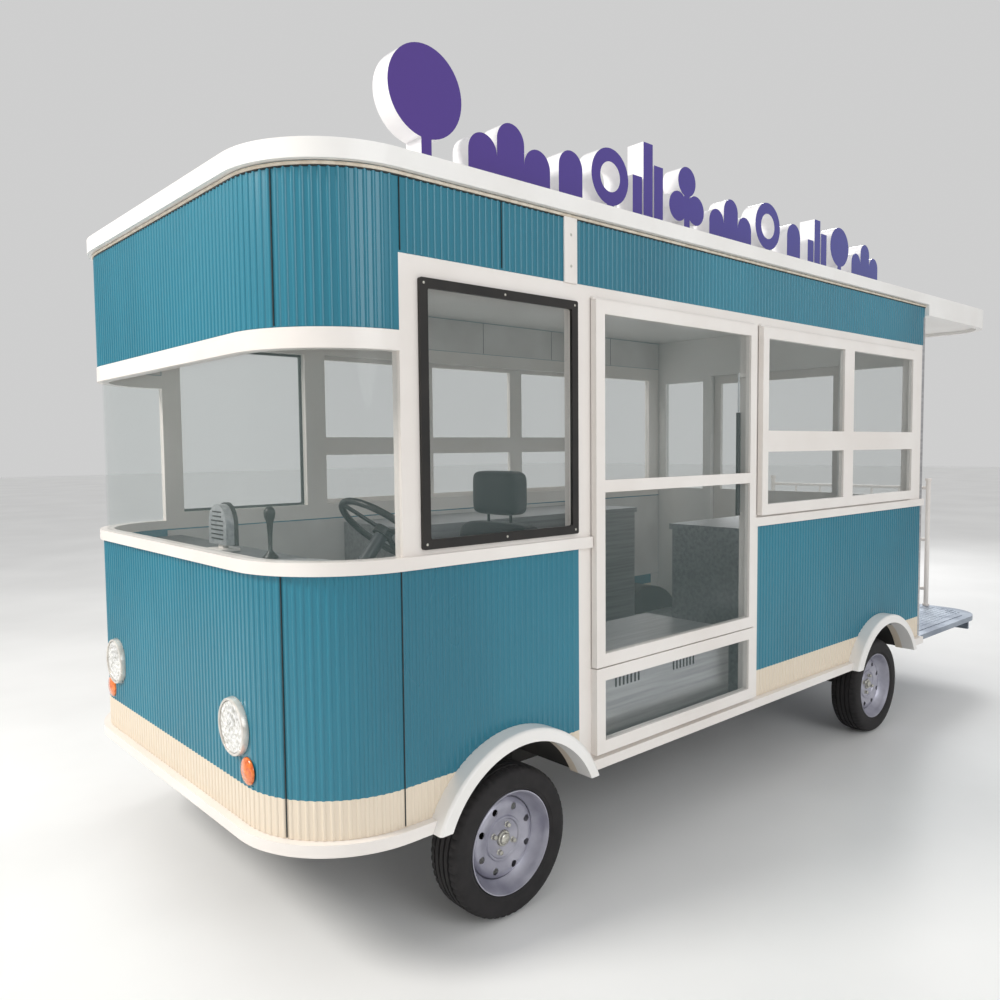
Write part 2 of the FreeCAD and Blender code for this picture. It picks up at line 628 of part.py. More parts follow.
def strut(kind):
    """The tubes or the rods of the tall hatch's two gas struts, upright while it is shut."""
    pieces = []
    for edge, sign in STRUT_EDGES:
        x = f"{FRONT} - {edge} {sign} strut_side"
        foot = f"{STRUT_LOW} - bracket_half"
        if kind == "tube":
            barrel = rod("z", "tube_radius", (foot, f"{foot} + tube_length"), x, STRUT_Y)
            bore = rod("z", "rod_radius + 1", (f"{foot} + 40", f"{foot} + tube_length + 1"), x, STRUT_Y)
            pieces.append(cut(barrel, bore))
        else:
            pieces.append(rod("z", "rod_radius", (f"{foot} + 55", f"{STRUT_HIGH} + 8"), x, STRUT_Y))
    return fuse(*pieces)


node("left_hatch_frame", fuse(tall_frame, *strut_brackets()))
node("strut_tubes", strut("tube"))
node("strut_rods", strut("rod"))


# ---- rear door -------------------------------------------------------------------------------

def rear_door():
    """The door leaf behind the rear wall, with its long pane and a D-shaped pull handle."""
    half = "door_width / 2"
    x = (f"{REAR} - leaf_gap - leaf_thick", f"{REAR} - leaf_gap")
    leaf_block = box(x, (f"-{half}", half), ("door_bottom", "door_top"))
    y = (f"-{half} + door_border", f"{half} - door_border")
    z = ("door_glass_low", "door_top - door_border")
    hole = box((f"{x[0]} - 1", f"{x[1]} + 1"), y, z)
    middle = f"{REAR} - leaf_gap - leaf_thick / 2"
    glass = box((f"{middle} - glass / 2", f"{middle} + glass / 2"), (f"{y[0]} + fit_gap", f"{y[1]} - fit_gap"),
                (f"{z[0]} + fit_gap", f"{z[1]} - fit_gap"))
    side = f"{half} - door_border / 2"
    low, high = "handle_height - handle_length / 2", "handle_height + handle_length / 2"
    grip = rod("z", "handle_radius", (low, high), f"{x[0]} - 40", side)
    feet = [rod("x", "handle_radius", (f"{x[0]} - 40", x[0]), side, height) for height in (low, high)]
    return fuse(cut(leaf_block, hole), grip, *feet), glass


door_leaf, door_glass = rear_door()
node("rear_door_leaf", door_leaf)
node("rear_door_glass", door_glass)


# ---- running gear ----------------------------------------------------------------------------

TRACK = f"({HALF} - wheel_width / 2)"
PIN_Y = f"({HALF} - pin_inset)"


def around(side, low, high):
    """The y range between two offsets outward from a wheel's middle plane."""
    return out(side, f"{TRACK} + ({low})", f"{TRACK} + ({high})")


def tyre(side, station):
    x = f"{FRONT} - {station}"
    half = "wheel_width / 2"
    outer = rod("y", "wheel_radius", around(side, f"-{half}", half), x, "wheel_radius")
    rounded = doc.addObject("Part::Fillet", "shoulders")
    rounded.Base = outer
    shoulder = value("tyre_shoulder")
    doc.recompute()
    rounded.Edges = [(number, shoulder, shoulder) for number, edge in enumerate(outer.Shape.Edges, 1)
                     if edge.Curve.TypeId == "Part::GeomCircle"]
    hollow = rod("y", "rim_flange", around(side, f"-{half} - 1", f"{half} + 1"), x, "wheel_radius")
    bead_half = "(rim_span / 2 - flange_thick)"
    bead = cut(rod("y", "rim_flange + 1", around(side, f"-{bead_half}", bead_half), x, "wheel_radius"),
               rod("y", "rim_seat", around(side, f"-{bead_half} - 1", f"{bead_half} + 1"), x, "wheel_radius"))
    return fuse(cut(rounded, hollow), bead)


def rim(side, station):
    """A steel wheel: barrel with two flanges, a disc with round vents and a bored hub."""
    x, height = f"{FRONT} - {station}", "wheel_radius"
    span, inner_edge = "(rim_span / 2)", "(rim_span / 2 - flange_thick)"
    solid = [rod("y", "rim_seat", around(side, f"-{span}", span), x, height)]
    for low, high in ((f"-{span}", f"-{inner_edge}"), (inner_edge, span)):
        solid.append(rod("y", "rim_flange", around(side, low, high), x, height))
    barrel = cut(fuse(*solid), rod("y", "rim_inner", around(side, f"-{span} - 1", f"{span} + 1"), x, height))
    disc_y = ("disc_offset", "disc_offset + disc_thick")
    disc = rod("y", "rim_inner + 1", around(side, *disc_y), x, height)
    hub = rod("y", "hub_radius", around(side, "disc_offset - 30", "disc_offset + disc_thick + 6"), x, height)
    through = around(side, "disc_offset - 40", "disc_offset + 40")
    holes = [rod("y", "spindle_radius + running_gap", through, x, height)]
    for number in range(8):
        angle = math.tau * (number + 0.5) / 8
        holes.append(rod("y", "vent_radius", through, f"{x} + vent_circle * {math.cos(angle):.6f}",
                         f"{height} + vent_circle * {math.sin(angle):.6f}"))
    return cut(fuse(barrel, disc, hub), *holes)


for name, station, side in WHEELS:
    node(f"tyre_{name}", tyre(side, station))
    node(f"rim_{name}", rim(side, station))


def knuckle(side):
    """A king pin with the spindle that the front wheel turns on."""
    x = f"{FRONT} - {FRONT_AXLE}"
    reach = "(yoke_reach - fit_gap)"
    pin = rod("z", "pin_radius", (f"wheel_radius - {reach}", f"wheel_radius + {reach}"), x, off(side, PIN_Y))
    spindle = rod("y", "spindle_radius", out(side, PIN_Y, f"{TRACK} + disc_offset + disc_thick + 6"),
                  x, "wheel_radius")
    return fuse(pin, spindle)


def spring_pack(side, station):
    """A leaf spring under a chassis rail, with its hangers, seated on the axle beam."""
    y = out(side, "(chassis_spacing - chassis_width) / 2", "(chassis_spacing + chassis_width) / 2")
    low, high = f"{station} - spring_length / 2", f"{station} + spring_length / 2"
    seat = "wheel_radius + axle_size / 2"
    blade = box(back(low, high), y, (seat, f"{seat} + spring_thick"))
    hangers = [box(back(a, b), y, (seat, "chassis_bottom"))
               for a, b in ((low, f"{low} + 40"), (f"{high} - 40", high))]
    return fuse(blade, *hangers)


def beam(station, reach):
    return box(back(f"{station} - axle_size / 2", f"{station} + axle_size / 2"), (f"-({reach})", reach),
               ("wheel_radius - axle_size / 2", "wheel_radius + axle_size / 2"))


def front_axle():
    """The front beam with a yoke about each king pin, on two leaf springs."""
    pieces = [beam(FRONT_AXLE, f"{PIN_Y} - 60")]
    x = back(f"{FRONT_AXLE} - axle_size / 2", f"{FRONT_AXLE} + axle_size / 2")
    for side in (LEFT, RIGHT):
        upright = out(side, f"{PIN_Y} - 60", f"{PIN_Y} - 60 + yoke_thick")
        arm = out(side, f"{PIN_Y} - 60", f"{PIN_Y} + pin_radius")
        reach = "(yoke_reach + yoke_thick)"
        pieces.append(box(x, upright, (f"wheel_radius - {reach}", f"wheel_radius + {reach}")))
        for low, high in ((f"wheel_radius - {reach}", "wheel_radius - yoke_reach"),
                          ("wheel_radius + yoke_reach", f"wheel_radius + {reach}")):
            pieces.append(box(x, arm, (low, high)))
        pieces.append(spring_pack(side, FRONT_AXLE))
    return fuse(*pieces)


def rear_axle():
    """The driven beam with a spindle for each rear wheel, on two leaf springs."""
    x = f"{FRONT} - {REAR_AXLE}"
    pieces = [beam(REAR_AXLE, f"{TRACK} - rim_span / 2 - 12")]
    for side in (LEFT, RIGHT):
        spindle = out(side, f"{TRACK} - rim_span / 2 - 20", f"{TRACK} + disc_offset + disc_thick + 6")
        pieces.append(rod("y", "spindle_radius", spindle, x, "wheel_radius"))
        pieces.append(spring_pack(side, REAR_AXLE))
    return fuse(*pieces)


node("knuckle_left", knuckle(LEFT))
node("knuckle_right", knuckle(RIGHT))
node("front_axle", front_axle())
node("rear_axle", rear_axle())
node("drive_motor", box(back(f"{REAR_AXLE} - axle_size / 2 - 300", f"{REAR_AXLE} - axle_size / 2"),
                        ("-170", "170"), ("wheel_radius - 110", "wheel_radius + 60")))
node("battery_box", box(back(f"{FRONT_AXLE} + 560", f"{FRONT_AXLE} + 1760"),
                        ("-(chassis_spacing - chassis_width) / 2", "(chassis_spacing - chassis_width) / 2"),
                        ("230", "chassis_bottom + 20")))


def flare(side, station):
    """The rounded band that stands proud round a wheel arch."""
    x = f"{FRONT} - {station}"
    y = out(side, HALF, f"{HALF} + flare_proud")
    outer = rod("y", "arch_radius + flare_width", y, x, "arch_height")
    rounded = doc.addObject("Part::Fillet", "lip")
    rounded.Base = outer
    doc.recompute()
    size, far = value("flare_round"), value(f"{HALF} + flare_proud")
    rounded.Edges = [(number, size, size) for number, edge in enumerate(outer.Shape.Edges, 1)
                     if edge.Curve.TypeId == "Part::GeomCircle" and abs(abs(edge.CenterOfMass.y) - far) < 1]
    hole = rod("y", "arch_radius", out(side, f"{HALF} - 1", f"{HALF} + flare_proud + 1"), x, "arch_height")
    below = box((TAIL, FRONT), (f"-{HALF} - 200", f"{HALF} + 200"), ("-400", "body_bottom"))
    return cut(rounded, hole, below)


node("arch_flares", fuse(*[flare(side, station) for _, station, side in WHEELS]))


# ---- lamps -----------------------------------------------------------------------------------

def lamp(x_face, forward, radius, proud, neck, y, height):
    """A round lamp: a neck that passes into the panel and a wider bezel on its face."""
    ahead, behind = (f"{x_face} - 25", f"{x_face} + {proud}"), (f"{x_face} - {proud}", f"{x_face} + 18")
    inner, outer = ahead if forward else behind
    face = (f"{x_face} + fit_gap", outer) if forward else (inner, f"{x_face} - fit_gap")
    stem = (inner, f"{x_face} + fit_gap") if forward else (f"{x_face} - fit_gap", outer)
    return fuse(rod("x", radius, face, y, height), rod("x", f"{radius} - {neck}", stem, y, height))


signs = [off(side, "lamp_place") for side in (LEFT, RIGHT)]
node("headlamps", fuse(*[lamp(FRONT, True, "lamp_radius", "lamp_proud", "lamp_neck", y, "lamp_height")
                         for y in signs]))
signals = [lamp(FRONT, True, "turn_radius", "turn_proud", "8", off(side, "turn_place"), "turn_height")
           for side in (LEFT, RIGHT)]
signals += [lamp(f"{TAIL} + skirt_inset", False, "tail_radius", "turn_proud", "8", off(side, "tail_place"),
                 "tail_height") for side in (LEFT, RIGHT)]
node("signal_lamps", fuse(*signals))


# ---- cab -------------------------------------------------------------------------------------

COLUMN_TURN = FreeCAD.Rotation(FreeCAD.Vector(0, 1, 0), -value("wheel_tilt"))


def column_point(along):
    """A point on the steering axis, measured up from the steering wheel's centre."""
    x = f"{FRONT} - wheel_station - ({along}) * sin(wheel_tilt * 1 deg)"
    z = f"wheel_height + ({along}) * cos(wheel_tilt * 1 deg)"
    return x, "wheel_side", z


def dashboard():
    """The shelf behind the windscreen, the panel under it and the steering column."""
    z = ("dash_top - dash_thick", "dash_top")
    shelf = common(outline("wall + service_gap / 4", z), box(back("0", "dash_depth"), (f"-{HALF}", HALF), z))
    board = box(back("dash_depth - dash_thick", "dash_depth"), (f"-{HALF} + wall + 30", f"{HALF} - wall - 30"),
                ("dash_panel_bottom", z[0]))
    legs = [box(back("dash_depth - dash_thick", "dash_depth"),
                out(side, f"{HALF} - wall - 75", f"{HALF} - wall - 30"), ("deck_top", "dash_panel_bottom"))
            for side in (LEFT, RIGHT)]
    column = doc.addObject("Part::Cylinder", "column")
    bind(column, "Radius", "column_radius")
    bind(column, "Height", "column_length")
    column.Placement = FreeCAD.Placement(FreeCAD.Vector(), COLUMN_TURN)
    place(column, *column_point("-column_length - 24"))
    return fuse(shelf, board, *legs, column)


def steering_wheel():
    """The rim, hub and spokes, square to the column."""
    ring = doc.addObject("Part::Torus", "ring")
    bind(ring, "Radius1", "steer_radius")
    bind(ring, "Radius2", "steer_tube")
    pieces = [ring]
    hub = doc.addObject("Part::Cylinder", "hub")
    bind(hub, "Radius", "column_radius + 12")
    bind(hub, "Height", "30")
    hub.Placement.Base = FreeCAD.Vector(0, 0, -23)
    pieces.append(hub)
    for number in range(3):
        spoke = doc.addObject("Part::Box", "spoke")
        bind(spoke, "Length", "steer_radius")
        bind(spoke, "Width", "26")
        bind(spoke, "Height", "8")
        angle = 90 + 120 * number
        turn = FreeCAD.Rotation(FreeCAD.Vector(0, 0, 1), angle)
        spoke.Placement = FreeCAD.Placement(turn.multVec(FreeCAD.Vector(0, -13, -4)), turn)
        pieces.append(spoke)
    whole = fuse(*pieces)
    whole.Placement = FreeCAD.Placement(FreeCAD.Vector(), COLUMN_TURN)
    place(whole, *column_point("0"))
    return whole


node("dashboard", dashboard())
node("steering_wheel", steering_wheel())


def dash_controls():
    """A knobbed lever and a round-topped monitor that stand on the dash shelf."""
    lever_x, lever_y = f"{FRONT} - 330", "180"
    ball = doc.addObject("Part::Sphere", "knob")
    bind(ball, "Radius", "22")
    place(ball, lever_x, lever_y, "dash_top + 175")
    lever = fuse(rod("z", "9", ("dash_top", "dash_top + 175"), lever_x, lever_y),
                 rod("z", "30", ("dash_top", "dash_top + 14"), lever_x, lever_y), ball)
    x = (f"{FRONT} - 330", f"{FRONT} - 270")
    monitor = fuse(box((f"{FRONT} - 350", f"{FRONT} - 250"), ("-260", "-80"), ("dash_top", "dash_top + 16")),
                   box(x, ("-260", "-80"), ("dash_top + 16", "dash_top + 110")),
                   rod("x", "90", x, "-170", "dash_top + 110"))
    return fuse(lever, monitor)


def driver_seat():
    """A closed box seat: pedestal, cushion and upright back."""
    y = ("wheel_side - seat_width / 2", "wheel_side + seat_width / 2")
    pedestal = box(back("seat_station + 60", "seat_station + seat_length - 20"),
                   ("wheel_side - seat_width / 2 + 40", f"{LINER_INNER} - service_gap"),
                   ("deck_top", "cushion_top - cushion_thick"))
    cushion = box(back("seat_station", "seat_station + seat_length"), y,
                  ("cushion_top - cushion_thick", "cushion_top"))
    rest = box(back("seat_station + seat_length - back_thick", "seat_station + seat_length"), y,
               ("cushion_top", "back_top"))
    return fuse(pedestal, cushion, rest)


def counters():
    """The galley's worktops on both sides, each on its closed cabinet."""
    pieces = []
    inside = f"{HALF} - wall - service_gap / 4"
    for side, front, rear in ((RIGHT, "counter_front", "counter_back"), (LEFT, "galley_front", "galley_back")):
        body = out(side, f"{inside} - counter_depth + top_lip", inside)
        top = out(side, f"{inside} - counter_depth", inside)
        pieces.append(box(back(front, rear), body, ("deck_top", "counter_top - top_thick")))
        pieces.append(box(back(front, rear), top, ("counter_top - top_thick", "counter_top")))
    return fuse(*pieces)


node("dash_controls", dash_controls())
node("driver_seat", driver_seat())
node("counters", counters())
node("fridge_cabinet", box(back("fridge_front", "fridge_back"),
                           (f"{HALF} - wall - service_gap - fridge_depth", f"{HALF} - wall - service_gap"),
                           ("deck_top", "fridge_top")))


# ---- check and write -------------------------------------------------------------------------

doc.recompute()
for thing in doc.Objects:
    if {"Invalid", "Error"} & set(thing.State):
        raise RuntimeError(f"{thing.Label} ({thing.Name}) failed: {thing.State}")
os.makedirs("parts", exist_ok=True)
for label, thing in parts.items():
    shape = thing.Shape
    if shape.isNull() or not shape.isValid() or not shape.Solids:
        raise RuntimeError(f"{label} has no valid solid")
    shape.exportStep(f"parts/{label}.step")
    print(f"{label}: {len(shape.Solids)} solids, {shape.Volume / 1e6:.2f} litres")
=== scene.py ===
import math

import bmesh
import bpy
from mathutils import Matrix, Vector


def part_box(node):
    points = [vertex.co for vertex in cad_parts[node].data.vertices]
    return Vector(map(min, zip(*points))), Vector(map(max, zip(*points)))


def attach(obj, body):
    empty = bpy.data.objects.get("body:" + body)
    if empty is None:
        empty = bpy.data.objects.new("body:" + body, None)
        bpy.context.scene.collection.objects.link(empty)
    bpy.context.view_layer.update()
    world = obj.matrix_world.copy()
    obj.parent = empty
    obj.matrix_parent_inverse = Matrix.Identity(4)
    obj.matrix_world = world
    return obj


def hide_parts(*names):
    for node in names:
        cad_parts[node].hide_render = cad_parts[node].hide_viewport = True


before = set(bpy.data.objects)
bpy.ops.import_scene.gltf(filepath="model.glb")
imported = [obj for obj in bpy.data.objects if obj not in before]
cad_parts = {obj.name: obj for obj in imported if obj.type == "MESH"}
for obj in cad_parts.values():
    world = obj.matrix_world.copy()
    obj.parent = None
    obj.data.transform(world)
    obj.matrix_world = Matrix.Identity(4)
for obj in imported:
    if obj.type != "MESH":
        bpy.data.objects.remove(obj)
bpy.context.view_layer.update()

# Camera, floor and lights. The van stands on a pale floor under a broad soft sky with one warm
# key from the front left, as in an open yard. The camera stands off its front left corner.
FRONT_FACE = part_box("lower_nose")[1].x
SIDE_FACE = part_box("lower_sides")[1].y
eye = Vector((FRONT_FACE + 1.127, SIDE_FACE + 2.118, 1.653))
right_way = Vector((-0.7457, 0.6661, -0.0097))
up_way = Vector((-0.0485, -0.0398, 0.9980))
back_way = Vector((0.6645, 0.7448, 0.0620))
camera_data = bpy.data.cameras.new("camera")
camera_data.lens, camera_data.sensor_width = 30.31, 36
camera_data.clip_start, camera_data.clip_end = 0.05, 200
camera = bpy.data.objects.new("camera", camera_data)
bpy.context.scene.collection.objects.link(camera)
turn = Matrix((right_way.normalized(), up_way.normalized(), back_way.normalized())).transposed()
camera.matrix_world = Matrix.Translation(eye) @ turn.to_4x4()
bpy.context.scene.camera = camera


def linear(code, alpha=1.0):
    """An sRGB hex colour as linear values."""
    parts = [int(code[i:i + 2], 16) / 255 for i in (1, 3, 5)]
    return (*[c / 12.92 if c <= 0.04045 else ((c + 0.055) / 1.055) ** 2.4 for c in parts], alpha)


def add_node(tree, kind, links=None, inputs=None, **settings):
    """Add a node with its settings, its fixed input values and links from other nodes' sockets."""
    node = tree.nodes.new(kind)
    for name, setting in settings.items():
        setattr(node, name, setting)
    for name, number in (inputs or {}).items():
        node.inputs[name].default_value = number
    for name, socket in (links or {}).items():
        tree.links.new(socket, node.inputs[name])
    return node


def new_material(name, colour, roughness, metallic=0.0, alpha=1.0, **sockets):
    """A material with one Principled shader; returns it with its tree and shader."""
    material = bpy.data.materials.new(name)
    material.use_nodes = True
    tree = material.node_tree
    shader = tree.nodes["Principled BSDF"]
    shader.inputs["Base Color"].default_value = linear(colour)
    shader.inputs["Roughness"].default_value = roughness
    shader.inputs["Metallic"].default_value = metallic
    shader.inputs["Alpha"].default_value = alpha
    for socket, number in sockets.items():
        shader.inputs[socket.replace("_", " ")].default_value = number
    return material, tree, shader


def object_place(tree):
    return tree.nodes.new("ShaderNodeTexCoord").outputs["Object"]


def mottle(tree, shader, colours, scale, stretch=(1, 1, 1), rough=None, bump=0.0, detail=4.0):
    """Vary a finish softly between two colours, with its gloss and a fine relief."""
    place = add_node(tree, "ShaderNodeMapping", {"Vector": object_place(tree)}, {"Scale": stretch})
    noise = add_node(tree, "ShaderNodeTexNoise", {"Vector": place.outputs[0]},
                     {"Scale": scale, "Detail": detail})
    ramp = add_node(tree, "ShaderNodeValToRGB", {"Fac": noise.outputs["Fac"]})
    ramp.color_ramp.elements[0].position, ramp.color_ramp.elements[1].position = 0.35, 0.65
    ramp.color_ramp.elements[0].color = linear(colours[0])
    ramp.color_ramp.elements[1].color = linear(colours[1])
    tree.links.new(ramp.outputs["Color"], shader.inputs["Base Color"])
    if rough:
        spread = add_node(tree, "ShaderNodeMapRange", {"Value": noise.outputs["Fac"]},
                          {"To Min": rough[0], "To Max": rough[1]})
        tree.links.new(spread.outputs["Result"], shader.inputs["Roughness"])
    if bump:
        relief = add_node(tree, "ShaderNodeBump", {"Height": noise.outputs["Fac"]},
                          {"Distance": bump, "Strength": 0.6})
        tree.links.new(relief.outputs["Normal"], shader.inputs["Normal"])
    return ramp


def finish_node(name, material):
    """Give a CAD node its finish."""
    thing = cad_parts[name]
    thing.data.materials.clear()
    thing.data.materials.append(material)


def add_mesh(name, body, material, geometry, smooth=None):
    """A new piece from a bmesh that already lies in place, riding on a body."""
    mesh = bpy.data.meshes.new(name)
    geometry.normal_update()
    geometry.to_mesh(mesh)
    geometry.free()
    thing = bpy.data.objects.new(name, mesh)
    bpy.context.scene.collection.objects.link(thing)
    mesh.materials.append(material)
    if smooth is not None:
        mesh.shade_smooth()
        mesh.set_sharp_from_angle(angle=math.radians(smooth))
    if body:
        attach(thing, body)
    return thing


floor_mesh = bmesh.new()
bmesh.ops.create_grid(floor_mesh, x_segments=1, y_segments=1, size=60)
floor_paint, tree, shader = new_material("pale_floor", "#F2F2F1", 0.35)
mottle(tree, shader, ("#EDEDEC", "#F6F6F5"), 0.6, rough=(0.3, 0.42))
floor = add_mesh("studio_floor", None, floor_paint, floor_mesh)

world = bpy.data.worlds.new("sky")
bpy.context.scene.world = world
world.use_nodes = True
world.node_tree.nodes["Background"].inputs["Color"].default_value = (1.0, 1.0, 1.0, 1)
world.node_tree.nodes["Background"].inputs["Strength"].default_value = 0.62


def area_light(name, place, aim, size, power, colour=(1, 1, 1)):
    data = bpy.data.lights.new(name, "AREA")
    data.shape, data.size, data.energy, data.color = "DISK", size, power, colour
    light = bpy.data.objects.new(name, data)
    bpy.context.scene.collection.objects.link(light)
    light.location = place
    light.rotation_euler = (Vector(aim) - Vector(place)).to_track_quat("-Z", "Y").to_euler()


area_light("key", (7.5, -1.5, 6.0), (1.5, 0, 1.2), 2.5, 440, (1.0, 0.97, 0.92))
area_light("fill", (2.0, 8.0, 4.5), (0, 0, 1.4), 5.0, 170, (0.95, 0.98, 1.0))
area_light("back", (-8.0, -3.0, 6.0), (-1.5, 0, 1.2), 4.0, 300)
bpy.context.scene.view_settings.view_transform = "Standard"

# Ribbed cladding. Pressed steel sheets with fine upright ribs wrap the body in two bands, sprayed
# in semi-gloss teal, with a cream band along the foot of the lower one. The ribs stand 3.5 mm
# proud and are rolled about 26 mm apart; each is a round bead run down the sheet.
STRIPE_TOP = 0.594
RIB_PITCH, RIB_RADIUS, RIB_PROUD = 0.0262, 0.0092, 0.0035
WAIST = 1.278


def teal_enamel(name, striped):
    """Semi-gloss sprayed enamel, a little uneven in tone, with the cream foot band if striped."""
    material, tree, shader = new_material(name, "#1E7489", 0.28, Coat_Weight=0.25, Coat_Roughness=0.12)
    ramp = mottle(tree, shader, ("#1A6D82", "#237C92"), 1.3, (1, 1, 0.35), rough=(0.24, 0.34), bump=0.0004)
    if striped:
        height = add_node(tree, "ShaderNodeSeparateXYZ", {"Vector": object_place(tree)})
        above = add_node(tree, "ShaderNodeMath", {0: height.outputs["Z"]}, {1: STRIPE_TOP},
                         operation="GREATER_THAN")
        band = add_node(tree, "ShaderNodeMix", {"Factor": above.outputs[0]}, data_type="RGBA")
        band.inputs["A"].default_value = linear("#E4D6C2")
        tree.links.new(ramp.outputs["Color"], band.inputs["B"])
        tree.links.new(band.outputs["Result"], shader.inputs["Base Color"])
    return material


lower_teal = teal_enamel("teal_enamel_with_cream_foot", True)
upper_teal = teal_enamel("teal_enamel", False)
for name in ("lower_nose", "lower_sides"):
    finish_node(name, lower_teal)
for name in ("upper_nose", "upper_sides"):
    finish_node(name, upper_teal)

nose_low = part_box("lower_nose")[0]
side_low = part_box("lower_sides")[0]
REAR_FACE = side_low.x
CORNER = 0.356
ARCH_Z, ARCH_CLEAR = 0.281, 0.406
AXLES = [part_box(f"tyre_{name}_left")[0].x + 0.266 for name in ("front", "rear")]


def plan_point(distance):
    """The point on the body's plan that far along it from the left rear corner, with its outward way."""
    straight = FRONT_FACE - CORNER - REAR_FACE
    bend = CORNER * math.pi / 2
    across = 2 * (SIDE_FACE - CORNER)
    if distance <= straight:
        return Vector((REAR_FACE + distance, SIDE_FACE, 0)), Vector((0, 1, 0))
    distance -= straight
    if distance <= bend:
        angle = math.pi / 2 - distance / CORNER
        out = Vector((math.cos(angle), math.sin(angle), 0))
        return Vector((FRONT_FACE - CORNER, SIDE_FACE - CORNER, 0)) + out * CORNER, out
    distance -= bend
    if distance <= across:
        return Vector((FRONT_FACE, SIDE_FACE - CORNER - distance, 0)), Vector((1, 0, 0))
    distance -= across
    if distance <= bend:
        angle = -distance / CORNER
        out = Vector((math.cos(angle), math.sin(angle), 0))
        return Vector((FRONT_FACE - CORNER, CORNER - SIDE_FACE, 0)) + out * CORNER, out
    distance -= bend
    return Vector((FRONT_FACE - CORNER - distance, -SIDE_FACE, 0)), Vector((0, -1, 0))


PLAN_LENGTH = 2 * (FRONT_FACE - CORNER - REAR_FACE) + CORNER * math.pi + 2 * (SIDE_FACE - CORNER)
hatch_low, hatch_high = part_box("left_hatch_frame")


def rib_spans(point, outward, low, high):
    """The heights that a rib covers at a point, clear of wheel arches, the tall hatch and the lamps."""
    side = abs(outward.y) > 0.99
    if side:
        for axle in AXLES:
            across = abs(point.x - axle)
            if across < ARCH_CLEAR:
                low = max(low, ARCH_Z + math.sqrt(ARCH_CLEAR ** 2 - across ** 2))
        if point.y > 0 and hatch_low.x - 0.080 < point.x < hatch_high.x + 0.077 and low < WAIST:
            return []
    spans = [(low, high)]
    for place_y, height, radius in ((0.573, 0.772, 0.099), (0.655, 0.647, 0.05)):
        across = abs(abs(point.y) - place_y)
        if outward.x > 0.6 and across < radius and low < height < high:
            reach = math.sqrt(radius ** 2 - across ** 2)
            cut = []
            for start, end in spans:
                below, above = (start, min(end, height - reach)), (max(start, height + reach), end)
                cut += [(a, b) for a, b in (below, above) if b - a > 0.01]
            spans = cut
    return [(a, b) for a, b in spans if b - a > 0.02]


def build_rib_tree():
    """Sweeps a small round bead along every edge of the input, realized and given its finish."""
    group = bpy.data.node_groups.new("ribs_along_lines", "GeometryNodeTree")
    group.interface.new_socket("Lines", in_out="INPUT", socket_type="NodeSocketGeometry")
    group.interface.new_socket("Bead radius", in_out="INPUT", socket_type="NodeSocketFloat")
    group.interface.new_socket("Finish", in_out="INPUT", socket_type="NodeSocketMaterial")
    group.interface.new_socket("Ribs", in_out="OUTPUT", socket_type="NodeSocketGeometry")
    start, end = group.nodes.new("NodeGroupInput"), group.nodes.new("NodeGroupOutput")
    lines = add_node(group, "GeometryNodeMeshToCurve", {"Mesh": start.outputs["Lines"]})
    ring = add_node(group, "GeometryNodeCurvePrimitiveCircle", {"Radius": start.outputs["Bead radius"]},
                    {"Resolution": 12})
    sweep = add_node(group, "GeometryNodeCurveToMesh",
                     {"Curve": lines.outputs["Curve"], "Profile Curve": ring.outputs["Curve"]},
                     {"Fill Caps": True})
    smooth = add_node(group, "GeometryNodeSetShadeSmooth", {"Geometry": sweep.outputs["Mesh"]})
    whole = add_node(group, "GeometryNodeRealizeInstances", {"Geometry": smooth.outputs["Geometry"]})
    coat = add_node(group, "GeometryNodeSetMaterial",
                    {"Geometry": whole.outputs["Geometry"], "Material": start.outputs["Finish"]})
    group.links.new(coat.outputs["Geometry"], end.inputs["Ribs"])
    return group


rib_tree = build_rib_tree()


def run_tree(name, tree, lines, body, slot, **inputs):
    """Run a node tree on a mesh of lines or points and keep the result as a plain mesh piece."""
    mesh = bpy.data.meshes.new(name + "_lines")
    mesh.from_pydata(lines[0], lines[1], [])
    source = bpy.data.objects.new(name + "_lines", mesh)
    bpy.context.scene.collection.objects.link(source)
    modifier = source.modifiers.new("nodes", "NODES")
    modifier.node_group = tree
    sockets = {item.name: item.identifier for item in tree.interface.items_tree if item.in_out == "INPUT"}
    for key, number in inputs.items():
        modifier[sockets[key.replace("_", " ")]] = number
    evaluated = source.evaluated_get(bpy.context.evaluated_depsgraph_get())
    made = bpy.data.meshes.new_from_object(evaluated)
    bpy.data.objects.remove(source)
    thing = bpy.data.objects.new(name, made)
    made.name = name
    bpy.context.scene.collection.objects.link(thing)
    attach(thing, body)
    return thing


def add_ribs(name, material, low, high, first, last):
    """A band of ribs along the body's plan between two distances from its left rear corner."""
    points, edges = [], []
    count = int((last - first) / RIB_PITCH)
    for number in range(1, count):
        point, outward = plan_point(first + number * (last - first) / count)
        sunk = point - outward * (RIB_RADIUS - RIB_PROUD)
        for start, end in rib_spans(point, outward, low, high):
            points += [(sunk.x, sunk.y, start), (sunk.x, sunk.y, end)]
            edges.append((len(points) - 2, len(points) - 1))
    run_tree(name, rib_tree, (points, edges), "van", "teal_cladding", Bead_radius=RIB_RADIUS, Finish=material)


NOSE_DEPTH = FRONT_FACE - nose_low.x
TO_NOSE = FRONT_FACE - NOSE_DEPTH - REAR_FACE
add_ribs("lower_ribs", lower_teal, 0.4725, 1.277, 0.0, PLAN_LENGTH)
add_ribs("upper_ribs_left", upper_teal, 2.244, 2.470, 0.0, TO_NOSE - 0.01)
add_ribs("upper_ribs_nose", upper_teal, 2.012, 2.470, TO_NOSE, PLAN_LENGTH - TO_NOSE)
add_ribs("upper_ribs_right", upper_teal, 2.244, 2.470, PLAN_LENGTH - TO_NOSE + 0.01, PLAN_LENGTH)

